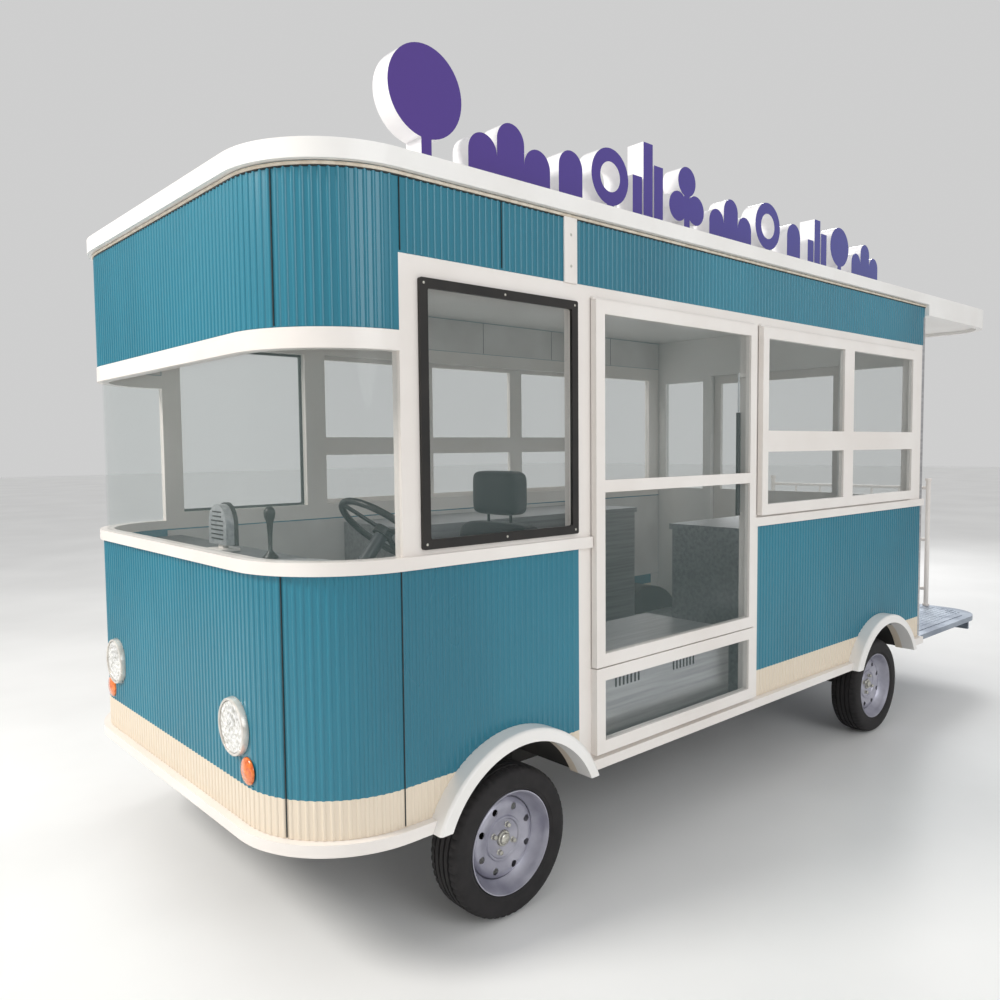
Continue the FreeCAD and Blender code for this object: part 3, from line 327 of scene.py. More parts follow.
# White frames and rails. Square steel tube and folded strip, welded, filled and sprayed in a warm
# white gloss that has gone slightly uneven, with soft edges from the paint.
def white_gloss(name, colours, rough):
    """Sprayed warm white with a faint orange-peel surface."""
    material, tree, shader = new_material(name, colours[0], rough[0], Coat_Weight=0.2)
    mottle(tree, shader, colours, 2.0, rough=rough, bump=0.0006)
    return material


frame_white = white_gloss("warm_white_gloss", ("#E9E2DC", "#F1ECE7"), (0.26, 0.36))
panel_white = white_gloss("white_gel_coat", ("#ECE9E5", "#F4F2EF"), (0.3, 0.42))
for name in ("side_frames", "window_rails", "bottom_rail", "lower_panel_frame", "left_hatch_frame",
             "rear_left_hatch_frame", "right_hatch_frame", "rear_door_leaf", "rear_railing"):
    finish_node(name, frame_white)
for name in ("rear_wall", "roof_shell", "arch_flares"):
    finish_node(name, panel_white)

# Glazing. Float glass and bent acrylic, clear with a faint green-grey body and a sharp gloss.
window_glass, tree, shader = new_material("clear_float_glass", "#8FA3A2", 0.02, alpha=0.1, IOR=1.5)
shader.inputs["Specular IOR Level"].default_value = 0.7
smears = add_node(tree, "ShaderNodeTexNoise", {"Vector": object_place(tree)}, {"Scale": 3.0, "Detail": 5.0})
haze = add_node(tree, "ShaderNodeMapRange", {"Value": smears.outputs["Fac"]},
                {"To Min": 0.01, "To Max": 0.045})
tree.links.new(haze.outputs["Result"], shader.inputs["Roughness"])
for name in ("windscreen", "fixed_window_glass", "left_hatch_glass", "rear_left_hatch_glass",
             "right_hatch_glass", "rear_door_glass"):
    finish_node(name, window_glass)

# Black trim. Extruded aluminium window frames and plastic parts in satin black.
black_satin, tree, shader = new_material("satin_black", "#1A1715", 0.38)
mottle(tree, shader, ("#151311", "#201C19"), 9.0, rough=(0.32, 0.46), bump=0.0003)
for name in ("cab_window_frames", "steering_wheel", "strut_tubes"):
    finish_node(name, black_satin)
rod_chrome, tree, shader = new_material("hard_chrome", "#C9CCCF", 0.12, 1.0)
finish_node("strut_rods", rod_chrome)

# Chassis. Welded box steel, axles and springs in brushed-on black chassis paint with road dust.
chassis_black, tree, shader = new_material("chassis_paint", "#211F1E", 0.62)
mottle(tree, shader, ("#1A1918", "#34302C"), 7.0, rough=(0.5, 0.8), bump=0.001)
for name in ("chassis_frame", "front_axle", "rear_axle", "battery_box", "drive_motor", "knuckle_left",
             "knuckle_right"):
    finish_node(name, chassis_black)
deck_grey, tree, shader = new_material("floor_vinyl", "#7D7F82", 0.5)
mottle(tree, shader, ("#6C6E72", "#8B8D8F"), 40.0, rough=(0.42, 0.6), bump=0.0004)
finish_node("floor_deck", deck_grey)

# Rear platform. Bright aluminium chequer plate, dulled by feet.
platform_alloy, tree, shader = new_material("aluminium_plate", "#9AA3B0", 0.35, 1.0)
mottle(tree, shader, ("#8791A0", "#A9B2BD"), 5.0, rough=(0.28, 0.5), bump=0.0005)
finish_node("rear_platform", platform_alloy)

# Galley. Brushed stainless worktops and cabinets with fine lines along their length.
brushed_steel, tree, shader = new_material("brushed_stainless", "#B3B3B5", 0.3, 1.0)
mottle(tree, shader, ("#A6A6A9", "#BEBEC0"), 60.0, (0.03, 1, 1), rough=(0.25, 0.4), bump=0.0003)
for name in ("counters", "fridge_cabinet"):
    finish_node(name, brushed_steel)

# Dash. A grained moulding behind the windscreen, coloured dark grey: partly the plastic's own colour, partly
# painted shade of the unlit cab.
dash_grey_and_shade, tree, shader = new_material("grained_dash_plastic_and_painted_shade", "#34363A", 0.35)
mottle(tree, shader, ("#2C2E32", "#3E4044"), 30.0, rough=(0.28, 0.42), bump=0.0003)
finish_node("dashboard", dash_grey_and_shade)

# Roof sign. Folded channel shapes: violet-blue acrylic faces on white returns.
sign_face, tree, shader = new_material("violet_acrylic_and_white_returns", "#3D2E8C", 0.2, Coat_Weight=0.3)
way = tree.nodes.new("ShaderNodeNewGeometry")
parts = add_node(tree, "ShaderNodeSeparateXYZ", {"Vector": way.outputs["Normal"]})
front = add_node(tree, "ShaderNodeMath", {0: parts.outputs["Y"]}, {1: 0.9}, operation="GREATER_THAN")
along = add_node(tree, "ShaderNodeSeparateXYZ", {"Vector": object_place(tree)})
fade = add_node(tree, "ShaderNodeMapRange", {"Value": along.outputs["X"]},
                {"From Min": -1.2, "From Max": 2.2})
hue = add_node(tree, "ShaderNodeValToRGB", {"Fac": fade.outputs["Result"]})
hue.color_ramp.elements[0].color = linear("#2B3590")
hue.color_ramp.elements[1].color = linear("#4B2F86")
faces = add_node(tree, "ShaderNodeMix", {"Factor": front.outputs[0], "B": hue.outputs["Color"]},
                 data_type="RGBA")
faces.inputs["A"].default_value = linear("#F1F0F2")
tree.links.new(faces.outputs["Result"], shader.inputs["Base Color"])
finish_node("roof_sign", sign_face)

# Turned parts. Tyres, rims, lamps, nuts and knobs are all round about an axis, so each is drawn as
# half a section and turned about it.
def lathe(profile, centre, axis, steps=48, notch=None, geometry=None):
    """Turn (radius, distance along the axis) points about an axis; a zero radius closes an end."""
    geometry = geometry or bmesh.new()
    axis, centre = Vector(axis).normalized(), Vector(centre)
    side_way = axis.orthogonal().normalized()
    other_way = axis.cross(side_way)
    rings = []
    for index, (radius, along) in enumerate(profile):
        if radius < 1e-6:
            rings.append([geometry.verts.new(centre + axis * along)])
            continue
        ring = []
        for step in range(steps):
            angle = math.tau * step / steps
            reach = radius - (notch(step, index) if notch else 0)
            spoke = side_way * math.cos(angle) + other_way * math.sin(angle)
            ring.append(geometry.verts.new(centre + axis * along + spoke * reach))
        rings.append(ring)
    pairs = list(zip(rings, rings[1:]))
    if len(rings[0]) > 1 and len(rings[-1]) > 1:
        pairs.append((rings[-1], rings[0]))
    faces = []
    for first, second in pairs:
        for step in range(steps):
            following = (step + 1) % steps
            corners = []
            for ring, number in ((first, step), (first, following), (second, following), (second, step)):
                corner = ring[number if len(ring) > 1 else 0]
                if corner not in corners:
                    corners.append(corner)
            if len(corners) > 2:
                faces.append(geometry.faces.new(corners))
    bmesh.ops.recalc_face_normals(geometry, faces=faces)
    return geometry


def block(low, high, round_by=0.0, geometry=None):
    """A box between two corners with its edges eased."""
    geometry = geometry or bmesh.new()
    low, high = Vector(low), Vector(high)
    made = bmesh.ops.create_cube(geometry, size=1.0)["verts"]
    for vertex in made:
        vertex.co = Vector(((low[i] + high[i]) / 2 + vertex.co[i] * (high[i] - low[i]) for i in range(3)))
    if round_by:
        edges = {edge for vertex in made for edge in vertex.link_edges}
        bmesh.ops.bevel(geometry, geom=list(edges), offset=round_by, segments=3, affect="EDGES", profile=0.5)
    return geometry


# Tyres and steel rims. Black radial tyres with grooved tread and cut shoulders, on pressed steel
# wheels: a rolled barrel, a dished disc with eight cooling holes, four nuts and a pressed hub cap.
TREAD_GROOVES = (0.012, 0.036)
SHOULDER_NOTCH, TREAD_STEPS = 0.0042, 168
tyre_half = [(0.1835, 0.058), (0.1860, 0.0672), (0.1960, 0.0725), (0.1975, 0.0742), (0.2010, 0.0745),
             (0.2200, 0.0772), (0.2400, 0.0755), (0.2520, 0.0708), (0.2590, 0.0640), (0.2630, 0.0560)]
tread_half = []
for groove in reversed(TREAD_GROOVES):
    tread_half += [(0.2655, groove + 0.0042), (0.2590, groove + 0.0030), (0.2590, groove - 0.0030),
                   (0.2658, groove - 0.0042)]
tyre_side = tyre_half + tread_half
tyre_section = tyre_side + [(radius, -along) for radius, along in reversed(tyre_side)]
CUT_POINTS = {index for index, (radius, along) in enumerate(tyre_section)
              if radius > 0.258 and abs(along) > 0.04}
rim_barrel = [(0.1825, 0.0675), (0.1825, 0.0590), (0.1760, 0.0560), (0.1710, 0.0320), (0.1510, 0.0120),
              (0.1510, -0.0300), (0.1710, -0.0450), (0.1760, -0.0560), (0.1825, -0.0590), (0.1825, -0.0675),
              (0.1785, -0.0675), (0.1720, -0.0520), (0.1670, -0.0420), (0.1470, -0.0280), (0.1470, 0.0100),
              (0.1655, 0.0290), (0.1700, 0.0500), (0.1755, 0.0610), (0.1785, 0.0675)]
DISC_THICK = 0.004
disc_face = [(0.1480, 0.0020), (0.1380, 0.0180), (0.1260, 0.0255), (0.1080, 0.0270), (0.0880, 0.0185),
             (0.0820, 0.0190), (0.0780, 0.0240), (0.0720, 0.0240), (0.0680, 0.0185), (0.0300, 0.0180)]
rim_disc = disc_face + [(radius, along - DISC_THICK) for radius, along in reversed(disc_face)]
VENTS, VENT_CIRCLE, VENT_RADIUS = 8, 0.1150, 0.0125
NUTS, NUT_CIRCLE = 4, 0.0490

tyre_rubber, tree, shader = new_material("black_tyre_rubber", "#1B191A", 0.78)
mottle(tree, shader, ("#151314", "#252223"), 22.0, rough=(0.66, 0.88), bump=0.0009)
wheel_paint, tree, shader = new_material("silver_wheel_lacquer", "#A7A6B4", 0.36, 0.55, Coat_Weight=0.2)
mottle(tree, shader, ("#9796A4", "#B6B5C0"), 9.0, rough=(0.3, 0.46), bump=0.0004)
bright_zinc, tree, shader = new_material("bright_zinc_plate", "#C4C2B8", 0.26, 0.9)
mottle(tree, shader, ("#AFADA4", "#D2D0C6"), 60.0, rough=(0.2, 0.38), bump=0.0002)


def cut_with(thing, cutter):
    """Cut one mesh object with another and keep the result as a plain mesh."""
    modifier = thing.modifiers.new("cut", "BOOLEAN")
    modifier.operation, modifier.object, modifier.solver = "DIFFERENCE", cutter, "EXACT"
    evaluated = thing.evaluated_get(bpy.context.evaluated_depsgraph_get())
    made = bpy.data.meshes.new_from_object(evaluated)
    thing.modifiers.clear()
    thing.data = made
    bpy.data.objects.remove(cutter)


for corner in ("front_left", "front_right", "rear_left", "rear_right"):
    low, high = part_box(f"tyre_{corner}")
    hub_place = (low + high) / 2
    outward = (0, 1 if "left" in corner else -1, 0)
    notches = lambda step, index: SHOULDER_NOTCH if step % 3 == 0 and index in CUT_POINTS else 0.0
    tyre = add_mesh(f"tread_tyre_{corner}", f"wheel_{corner}", tyre_rubber,
                    lathe(tyre_section, hub_place, outward, TREAD_STEPS, notches), 32)
    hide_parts(f"tyre_{corner}")
    disc = add_mesh(f"rim_disc_{corner}", f"wheel_{corner}", wheel_paint,
                    lathe(rim_disc, hub_place, outward, 64), 40)
    vents = bmesh.new()
    for number in range(VENTS):
        angle = math.tau * (number + 0.5) / VENTS
        place = hub_place + Vector((math.cos(angle), 0, math.sin(angle))) * VENT_CIRCLE
        vent_section = [(0, -0.02), (VENT_RADIUS, -0.02), (VENT_RADIUS, 0.06), (0, 0.06)]
        lathe(vent_section, place, outward, 20, None, vents)
    cutter = add_mesh(f"vent_cutter_{corner}", None, wheel_paint, vents)
    cut_with(disc, cutter)
    disc.data.shade_smooth()
    disc.data.set_sharp_from_angle(angle=math.radians(40))
    barrel = add_mesh(f"rim_barrel_{corner}", f"wheel_{corner}", wheel_paint,
                      lathe(rim_barrel, hub_place, outward, 72), 40)
    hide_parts(f"rim_{corner}")
    fixings = lathe([(0, 0.0375), (0.0130, 0.0365), (0.0195, 0.0320), (0.0215, 0.0255), (0.0265, 0.0245),
                     (0.0290, 0.0200), (0.0290, 0.0120), (0, 0.0120)], hub_place, outward, 32)
    for number in range(NUTS):
        angle = math.tau * (number + 0.25) / NUTS
        place = hub_place + Vector((math.cos(angle), 0, math.sin(angle))) * NUT_CIRCLE
        lathe([(0, 0.0345), (0.0060, 0.0340), (0.0092, 0.0310), (0.0092, 0.0205), (0.0120, 0.0190),
               (0.0120, 0.0165), (0, 0.0165)], place, outward, 6, None, fixings)
    add_mesh(f"wheel_nuts_{corner}", f"wheel_{corner}", bright_zinc, fixings, 35)

# Headlamps. Round moulded lenses in a pale bezel, cut inside into rings of bright facets, each
# pressed into the nose panel with a rubber seat.
LAMP_RINGS, LAMP_CELLS = 7, 26
LAMP_OUT, LAMP_FLAT = 0.0245, 0.0150
bezel_section = [(0.0945, 0.0004), (0.0945, 0.0100), (0.0925, 0.0185), (0.0880, 0.0215), (0.0840, 0.0195),
                 (0.0825, 0.0120), (0.0825, 0.0004)]
facet_glass, tree, shader = new_material("faceted_lamp_glass", "#EFEFEA", 0.1, 0.45, Coat_Weight=1.0)
shader.inputs["Coat Roughness"].default_value = 0.04
mottle(tree, shader, ("#B9B8B0", "#FFFFFF"), 85.0, rough=(0.05, 0.18))
lamp_bezel, tree, shader = new_material("pale_lamp_bezel", "#D9D4CC", 0.24, 0.3, Coat_Weight=0.4)
mottle(tree, shader, ("#CBC5BC", "#E6E2DB"), 25.0, rough=(0.18, 0.32))


def facet_lens(centre, radius, rise, geometry):
    """A domed lens whose rings of cells stand alternately high and low."""
    low_point = 0.0006
    section = [(0, LAMP_FLAT + rise)]
    for ring in range(1, LAMP_RINGS + 1):
        share = ring / LAMP_RINGS
        wave = 0.0022 if ring % 2 else -0.0012
        section.append((radius * share, LAMP_FLAT + rise * (1 - share ** 2) + wave * (1 - share * 0.4)))
    section += [(radius, low_point), (0, low_point)]
    cells = lambda step, index: 0.0028 if (step + index) % 2 and 0 < index < LAMP_RINGS else 0.0
    return lathe(section, centre, (1, 0, 0), LAMP_CELLS, cells, geometry)


lamps_low, lamps_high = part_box("headlamps")
lamp_places = [Vector((FRONT_FACE, sign * (lamps_high.y - 0.095), (lamps_low.z + lamps_high.z) / 2))
               for sign in (1, -1)]
lenses, bezels = bmesh.new(), bmesh.new()
for place in lamp_places:
    facet_lens(place, 0.0820, LAMP_OUT - LAMP_FLAT - 0.002, lenses)
    lathe(bezel_section, place, (1, 0, 0), 56, None, bezels)
lens_piece = add_mesh("headlamp_lenses", "van", facet_glass, lenses)
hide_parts("headlamps")
add_mesh("headlamp_bezels", "van", lamp_bezel, bezels, 40)

# Turn lamps and tail lamps. Small domed acrylic lenses with moulded rings, amber in front and red
# behind, each on a black rubber base.
dome_section = [(0, 0.0145), (0.0100, 0.0142), (0.0125, 0.0128), (0.0190, 0.0132), (0.0220, 0.0112),
                (0.0290, 0.0114), (0.0330, 0.0088), (0.0400, 0.0082), (0.0440, 0.0040), (0.0440, 0.0006),
                (0, 0.0006)]
amber_acrylic, tree, shader = new_material("amber_acrylic_lens", "#E06A14", 0.14, Coat_Weight=0.8)
mottle(tree, shader, ("#D2590B", "#F08328"), 70.0, rough=(0.08, 0.2))
red_acrylic, tree, shader = new_material("red_acrylic_lens", "#A5141A", 0.14, Coat_Weight=0.8)
mottle(tree, shader, ("#8C0D13", "#B91D22"), 70.0, rough=(0.08, 0.2))
signals_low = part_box("signal_lamps")[0]
TURN_Y, TURN_Z = 0.655, 0.647
TAIL_X, TAIL_Y, TAIL_Z = signals_low.x + 0.0148, 0.830, 0.388
turn_lenses, tail_lenses = bmesh.new(), bmesh.new()
for sign in (1, -1):
    lathe(dome_section, (FRONT_FACE, sign * TURN_Y, TURN_Z), (1, 0, 0), 40, None, turn_lenses)
    tail_section = [(radius * 0.82, along * 0.9) for radius, along in dome_section]
    lathe(tail_section, (TAIL_X, sign * TAIL_Y, TAIL_Z), (-1, 0, 0), 40, None, tail_lenses)
turn_piece = add_mesh("turn_lamp_lenses", "van", amber_acrylic, turn_lenses, 50)
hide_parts("signal_lamps")
add_mesh("tail_lamp_lenses", "van", red_acrylic, tail_lenses, 50)

# Seams and sealant. Where sheets meet, a narrow black joint shows; under the roof rim a bead of cream sealant
# runs right round, with a black line under it as painted shadow; and a black rubber strip closes the gap
# behind each hatch.
# The same black serves for real joints and seals, and also as painted shade: the shadow line under the rim
# bead and the dark inside of each fridge vent slot.
joint_black_and_shade, tree, shader = new_material("black_joint_sealer_and_painted_shade", "#1C2426", 0.7)
mottle(tree, shader, ("#151B1D", "#283033"), 60.0, rough=(0.6, 0.8))
sealant, tree, shader = new_material("cream_sealant", "#DCD0BE", 0.5)
mottle(tree, shader, ("#D0C3B0", "#E6DCCC"), 35.0, rough=(0.42, 0.58), bump=0.0004)
RIM_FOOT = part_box("upper_sides")[1].z


def plan_line(height, proud, first=0.0, last=PLAN_LENGTH, pitch=0.04):
    """A level line round the body at a distance outside its wall."""
    count = int((last - first) / pitch)
    points = []
    for number in range(count + 1):
        point, outward = plan_point(first + (last - first) * number / count)
        place = point + outward * proud
        points.append((place.x, place.y, height))
    return points, [(number, number + 1) for number in range(count)]


run_tree("rim_sealant_bead", rib_tree, plan_line(RIM_FOOT - 0.0075, 0.0015), "van", "white_frame",
         Bead_radius=0.0058, Finish=sealant)
# Painted shadow: a black line just under the sealant bead, standing in for the shade under the roof rim.
run_tree("rim_painted_shadow_line", rib_tree, plan_line(RIM_FOOT - 0.0155, 0.0008), "van", "black_trim",
         Bead_radius=0.0030, Finish=joint_black_and_shade)
SEAM_STATIONS_HIGH, SEAM_STATIONS_LOW = (0.367, 0.779), (0.353,)
CORNER_SEAM_TURN = math.radians(61)
points, edges = [], []
seams = [(FRONT_FACE - station - REAR_FACE, 2.250, 2.466) for station in SEAM_STATIONS_HIGH]
seams += [(FRONT_FACE - station - REAR_FACE, 0.475, 1.274) for station in SEAM_STATIONS_LOW]
bend_start = FRONT_FACE - CORNER - REAR_FACE
for low, high in ((0.475, 1.274), (2.016, 2.466)):
    seams.append((bend_start + CORNER * CORNER_SEAM_TURN, low, high))
    seams.append((PLAN_LENGTH - bend_start - CORNER * CORNER_SEAM_TURN, low, high))
for distance, low, high in seams:
    point, outward = plan_point(distance)
    place = point + outward * 0.0018
    points += [(place.x, place.y, low), (place.x, place.y, high)]
    edges.append((len(points) - 2, len(points) - 1))
run_tree("panel_joints", rib_tree, (points, edges), "van", "black_trim",
         Bead_radius=0.0021, Finish=joint_black_and_shade)
points, edges = [], []
for name, sign in (("left_hatch_frame", 1), ("rear_left_hatch_frame", 1), ("right_hatch_frame", -1)):
    low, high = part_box(name)
    inset, y = 0.008, sign * (SIDE_FACE + 0.0024)
    ring = [(low.x + inset, y, low.z + inset), (high.x - inset, y, low.z + inset),
            (high.x - inset, y, high.z - inset), (low.x + inset, y, high.z - inset)]
    start = len(points)
    points += ring
    edges += [(start + number, start + (number + 1) % 4) for number in range(4)]
run_tree("hatch_seals", rib_tree, (points, edges), "van", "black_trim",
         Bead_radius=0.0021, Finish=joint_black_and_shade)

# Joint strip. A folded white strip covers the upright joint in the left upper band, held by two
# pan-head screws, and a bright steel strip guards the rear corner of the side.
STRIP_FRONT, STRIP_BACK = FRONT_FACE - 1.075, FRONT_FACE - 1.142
strip = block((STRIP_BACK, SIDE_FACE - 0.001, 2.240), (STRIP_FRONT, SIDE_FACE + 0.0075, 2.472), 0.0022)
add_mesh("upper_joint_strip", "van", frame_white, strip, 40)
guard = bmesh.new()
for sign in (1, -1):
    face = sorted((sign * (SIDE_FACE - 0.001), sign * (SIDE_FACE + 0.0030)))
    block((REAR_FACE - 0.0020, face[0], 0.474), (REAR_FACE + 0.0260, face[1], 2.410), 0.0010, guard)
add_mesh("rear_corner_guards", "van", brushed_steel, guard, 40)


def build_screw_tree():
    """Sets a small domed screw head on every point, facing the side, realized with its finish."""
    group = bpy.data.node_groups.new("screw_heads", "GeometryNodeTree")
    group.interface.new_socket("Points", in_out="INPUT", socket_type="NodeSocketGeometry")
    group.interface.new_socket("Head radius", in_out="INPUT", socket_type="NodeSocketFloat")
    group.interface.new_socket("Finish", in_out="INPUT", socket_type="NodeSocketMaterial")
    group.interface.new_socket("Heads", in_out="OUTPUT", socket_type="NodeSocketGeometry")
    start, end = group.nodes.new("NodeGroupInput"), group.nodes.new("NodeGroupOutput")
    ball = add_node(group, "GeometryNodeMeshUVSphere", {"Radius": start.outputs["Head radius"]},
                    {"Segments": 14, "Rings": 6})
    flat = add_node(group, "GeometryNodeTransform", {"Geometry": ball.outputs["Mesh"]},
                    {"Scale": (1, 0.5, 1)})
    heads = add_node(group, "GeometryNodeInstanceOnPoints",
                     {"Points": start.outputs["Points"], "Instance": flat.outputs["Geometry"]})
    smooth = add_node(group, "GeometryNodeSetShadeSmooth", {"Geometry": heads.outputs["Instances"]})
    whole = add_node(group, "GeometryNodeRealizeInstances", {"Geometry": smooth.outputs["Geometry"]})
    coat = add_node(group, "GeometryNodeSetMaterial",
                    {"Geometry": whole.outputs["Geometry"], "Material": start.outputs["Finish"]})
    group.links.new(coat.outputs["Geometry"], end.inputs["Heads"])
    return group


screw_tree = build_screw_tree()
screws = [((STRIP_FRONT + STRIP_BACK) / 2, SIDE_FACE + 0.0075, height) for height in (2.300, 2.410)]
run_tree("strip_screws", screw_tree, (screws, []), "van", "chrome_rod",
         Head_radius=0.0055, Finish=bright_zinc)
frame_low, frame_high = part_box("cab_window_frames")
screws = []
for sign in (1, -1):
    for x in (frame_low.x + 0.016, (frame_low.x + frame_high.x) / 2, frame_high.x - 0.016):
        for z in (frame_low.z + 0.016, frame_high.z - 0.016):
            screws.append((x, sign * (frame_high.y - 0.0005), z))
run_tree("cab_frame_screws", screw_tree, (screws, []), "van", "chrome_rod",
         Head_radius=0.0048, Finish=bright_zinc)

# Inner lining. White faced board lines the walls inside, in sheets with a black joint between them, so that
# no teal shows from within.
LINING_THICK, LINING_SHEET, WALL = 0.003, 0.61, 0.040
board_white, tree, shader = new_material("white_faced_board", "#D9D5D2", 0.45)
mottle(tree, shader, ("#CFCAC7", "#E2DFDC"), 3.0, rough=(0.38, 0.55), bump=0.0003)


def lining(name, low, high, first, last):
    """A thin board that follows the inner face of the wall between two distances along it."""
    geometry = bmesh.new()
    count = max(2, int((last - first) / 0.05))
    columns = []
    for number in range(count + 1):
        point, outward = plan_point(first + (last - first) * number / count)
        column = []
        for inset, height in ((WALL + 0.0005, low), (WALL + 0.0005, high), (WALL + LINING_THICK, high),
                              (WALL + LINING_THICK, low)):
            place = point - outward * inset
            column.append(geometry.verts.new((place.x, place.y, height)))
        columns.append(column)
    for before, after in zip(columns, columns[1:]):
        for number in range(4):
            following = (number + 1) % 4
            geometry.faces.new((before[number], before[following], after[following], after[number]))
    geometry.faces.new(columns[0])
    geometry.faces.new(list(reversed(columns[-1])))
    bmesh.ops.recalc_face_normals(geometry, faces=geometry.faces[:])
    add_mesh(name, "van", board_white, geometry)


INNER_START = WALL + 0.004
lining("upper_lining_left", 2.245, 2.437, INNER_START, TO_NOSE - 0.004)
lining("upper_lining_nose", 2.012, 2.437, TO_NOSE + 0.004, PLAN_LENGTH - TO_NOSE - 0.004)
lining("upper_lining_right", 2.245, 2.437, PLAN_LENGTH - TO_NOSE + 0.004, PLAN_LENGTH - INNER_START)
LINING_FOOT, LINING_HEAD = 0.665, 1.272
lining("lower_lining_right", LINING_FOOT, LINING_HEAD, PLAN_LENGTH - TO_NOSE + 0.004,
       PLAN_LENGTH - INNER_START)
BEHIND_HATCH = hatch_low.x - 0.090 - REAR_FACE
lining("lower_lining_left", LINING_FOOT, LINING_HEAD, INNER_START, BEHIND_HATCH)
KICK_FOOT, ARCH_GAP = 0.473, 0.420
FRONT_ARCH, REAR_ARCH = (axle - REAR_FACE for axle in AXLES)
kick_spans = {"right_middle": (PLAN_LENGTH - FRONT_ARCH + ARCH_GAP, PLAN_LENGTH - REAR_ARCH - ARCH_GAP),
              "right_rear": (PLAN_LENGTH - REAR_ARCH + ARCH_GAP, PLAN_LENGTH - INNER_START),
              "left_middle": (REAR_ARCH + ARCH_GAP, BEHIND_HATCH),
              "left_rear": (INNER_START, REAR_ARCH - ARCH_GAP)}
for place, (first, last) in kick_spans.items():
    lining(f"kick_board_{place}", KICK_FOOT, LINING_FOOT - 0.002, first, last)
points, edges = [], []
for number in range(1, 6):
    for distance in (number * LINING_SHEET, PLAN_LENGTH - number * LINING_SHEET):
        point, outward = plan_point(distance)
        place = point - outward * (WALL + LINING_THICK)
        points += [(place.x, place.y, 2.247), (place.x, place.y, 2.435)]
        edges.append((len(points) - 2, len(points) - 1))
run_tree("lining_joints", rib_tree, (points, edges), "van", "black_trim",
         Bead_radius=0.0016, Finish=joint_black_and_shade)

# Driver's seat. Foam pads in black leathercloth, welted round their edges and sewn into channels,
# on a folded steel pedestal. Each pad is a crowned closed form whose sides pull in.
seat_low, seat_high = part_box("driver_seat")
CUSHION_TOP, CUSHION_THICK, BACK_THICK = 0.930, 0.130, 0.120
leathercloth, tree, shader = new_material("black_leathercloth_cover", "#1A1A1D", 0.48, Sheen_Weight=0.15)
mottle(tree, shader, ("#131316", "#232327"), 150.0, rough=(0.4, 0.58), bump=0.0007)
PAD_GRID = 28


def pad(name, low, high, upright, channels, body="van"):
    """A foam pad: rounded all over, crowned on its open face, with sewn channels across it."""
    low, high = Vector(low), Vector(high)
    middle, half = (low + high) / 2, (high - low) / 2
    depth = 0 if upright else 2
    geometry = bmesh.new()
    bmesh.ops.create_cube(geometry, size=2.0)
    bmesh.ops.subdivide_edges(geometry, edges=geometry.edges[:], cuts=PAD_GRID, use_grid_fill=True)
    across = 2 if upright else 0
    for vertex in geometry.verts:
        x, y, z = vertex.co
        power = 6.0
        length = (abs(x) ** power + abs(y) ** power + abs(z) ** power) ** (1 / power)
        shaped = Vector((x, y, z)) / length
        flat = [shaped[i] for i in range(3) if i != depth]
        crown = 1 - 0.28 * max(abs(flat[0]), abs(flat[1])) ** 3
        if shaped[depth] > 0:
            valleys = [math.exp(-((shaped[across] - channel) / 0.035) ** 2) for channel in channels]
            shaped[depth] *= crown - 0.11 * max(valleys, default=0.0)
        vertex.co = Vector((middle[i] + shaped[i] * half[i] for i in range(3)))
    bmesh.ops.recalc_face_normals(geometry, faces=geometry.faces[:])
    piece = add_mesh(name, body, leathercloth, geometry, 180)
    return piece


back_front = seat_low.x + BACK_THICK
cushion = pad("seat_cushion_pad", (seat_low.x + 0.002, seat_low.y, CUSHION_TOP - CUSHION_THICK),
              (seat_high.x, seat_high.y, CUSHION_TOP), False, (-0.55, 0.0, 0.5))
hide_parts("driver_seat")
pad("seat_back_pad", (seat_low.x, seat_low.y, CUSHION_TOP + 0.004), (back_front, seat_high.y, 1.340), True,
    (-0.5, 0.0, 0.5))
pad("seat_head_pad", (seat_low.x + 0.015, (seat_low.y + seat_high.y) / 2 - 0.14, 1.372),
    (back_front - 0.010, (seat_low.y + seat_high.y) / 2 + 0.14, 1.556), True, ())
mount = block((seat_low.x + 0.022, seat_low.y + 0.042, 0.472),
              (seat_high.x - 0.062, seat_high.y - 0.066, 0.802), 0.006)
for side_y in (-0.07, 0.07):
    post_y = (seat_low.y + seat_high.y) / 2 + side_y
    post_section = [(0, 1.32), (0.006, 1.32), (0.006, 1.39), (0, 1.39)]
    lathe(post_section, (seat_low.x + 0.058, post_y, 0), (0, 0, 1), 12, None, mount)
add_mesh("seat_pedestal_and_posts", "van", chassis_black, mount, 40)

# Dash controls. A tapered black lever under a smooth knob, and a silver vented monitor with a round
# top in a black surround, on a white foot.
SHELF = 1.245
lever_place = (FRONT_FACE - 0.330, 0.180, SHELF)
lever = lathe([(0, 0.1965), (0.0120, 0.1930), (0.0205, 0.1820), (0.0218, 0.1690), (0.0190, 0.1520),
               (0.0125, 0.1350), (0.0090, 0.0900), (0.0078, 0.0300), (0.0200, 0.0160), (0.0290, 0.0060),
               (0.0300, 0.0003), (0, 0.0003)], lever_place, (0, 0, 1), 36)
lever_piece = add_mesh("drive_lever", "van", black_satin, lever, 50)
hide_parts("dash_controls")
MONITOR_X, MONITOR_Y, MONITOR_HALF = FRONT_FACE - 0.300, -0.170, 0.088


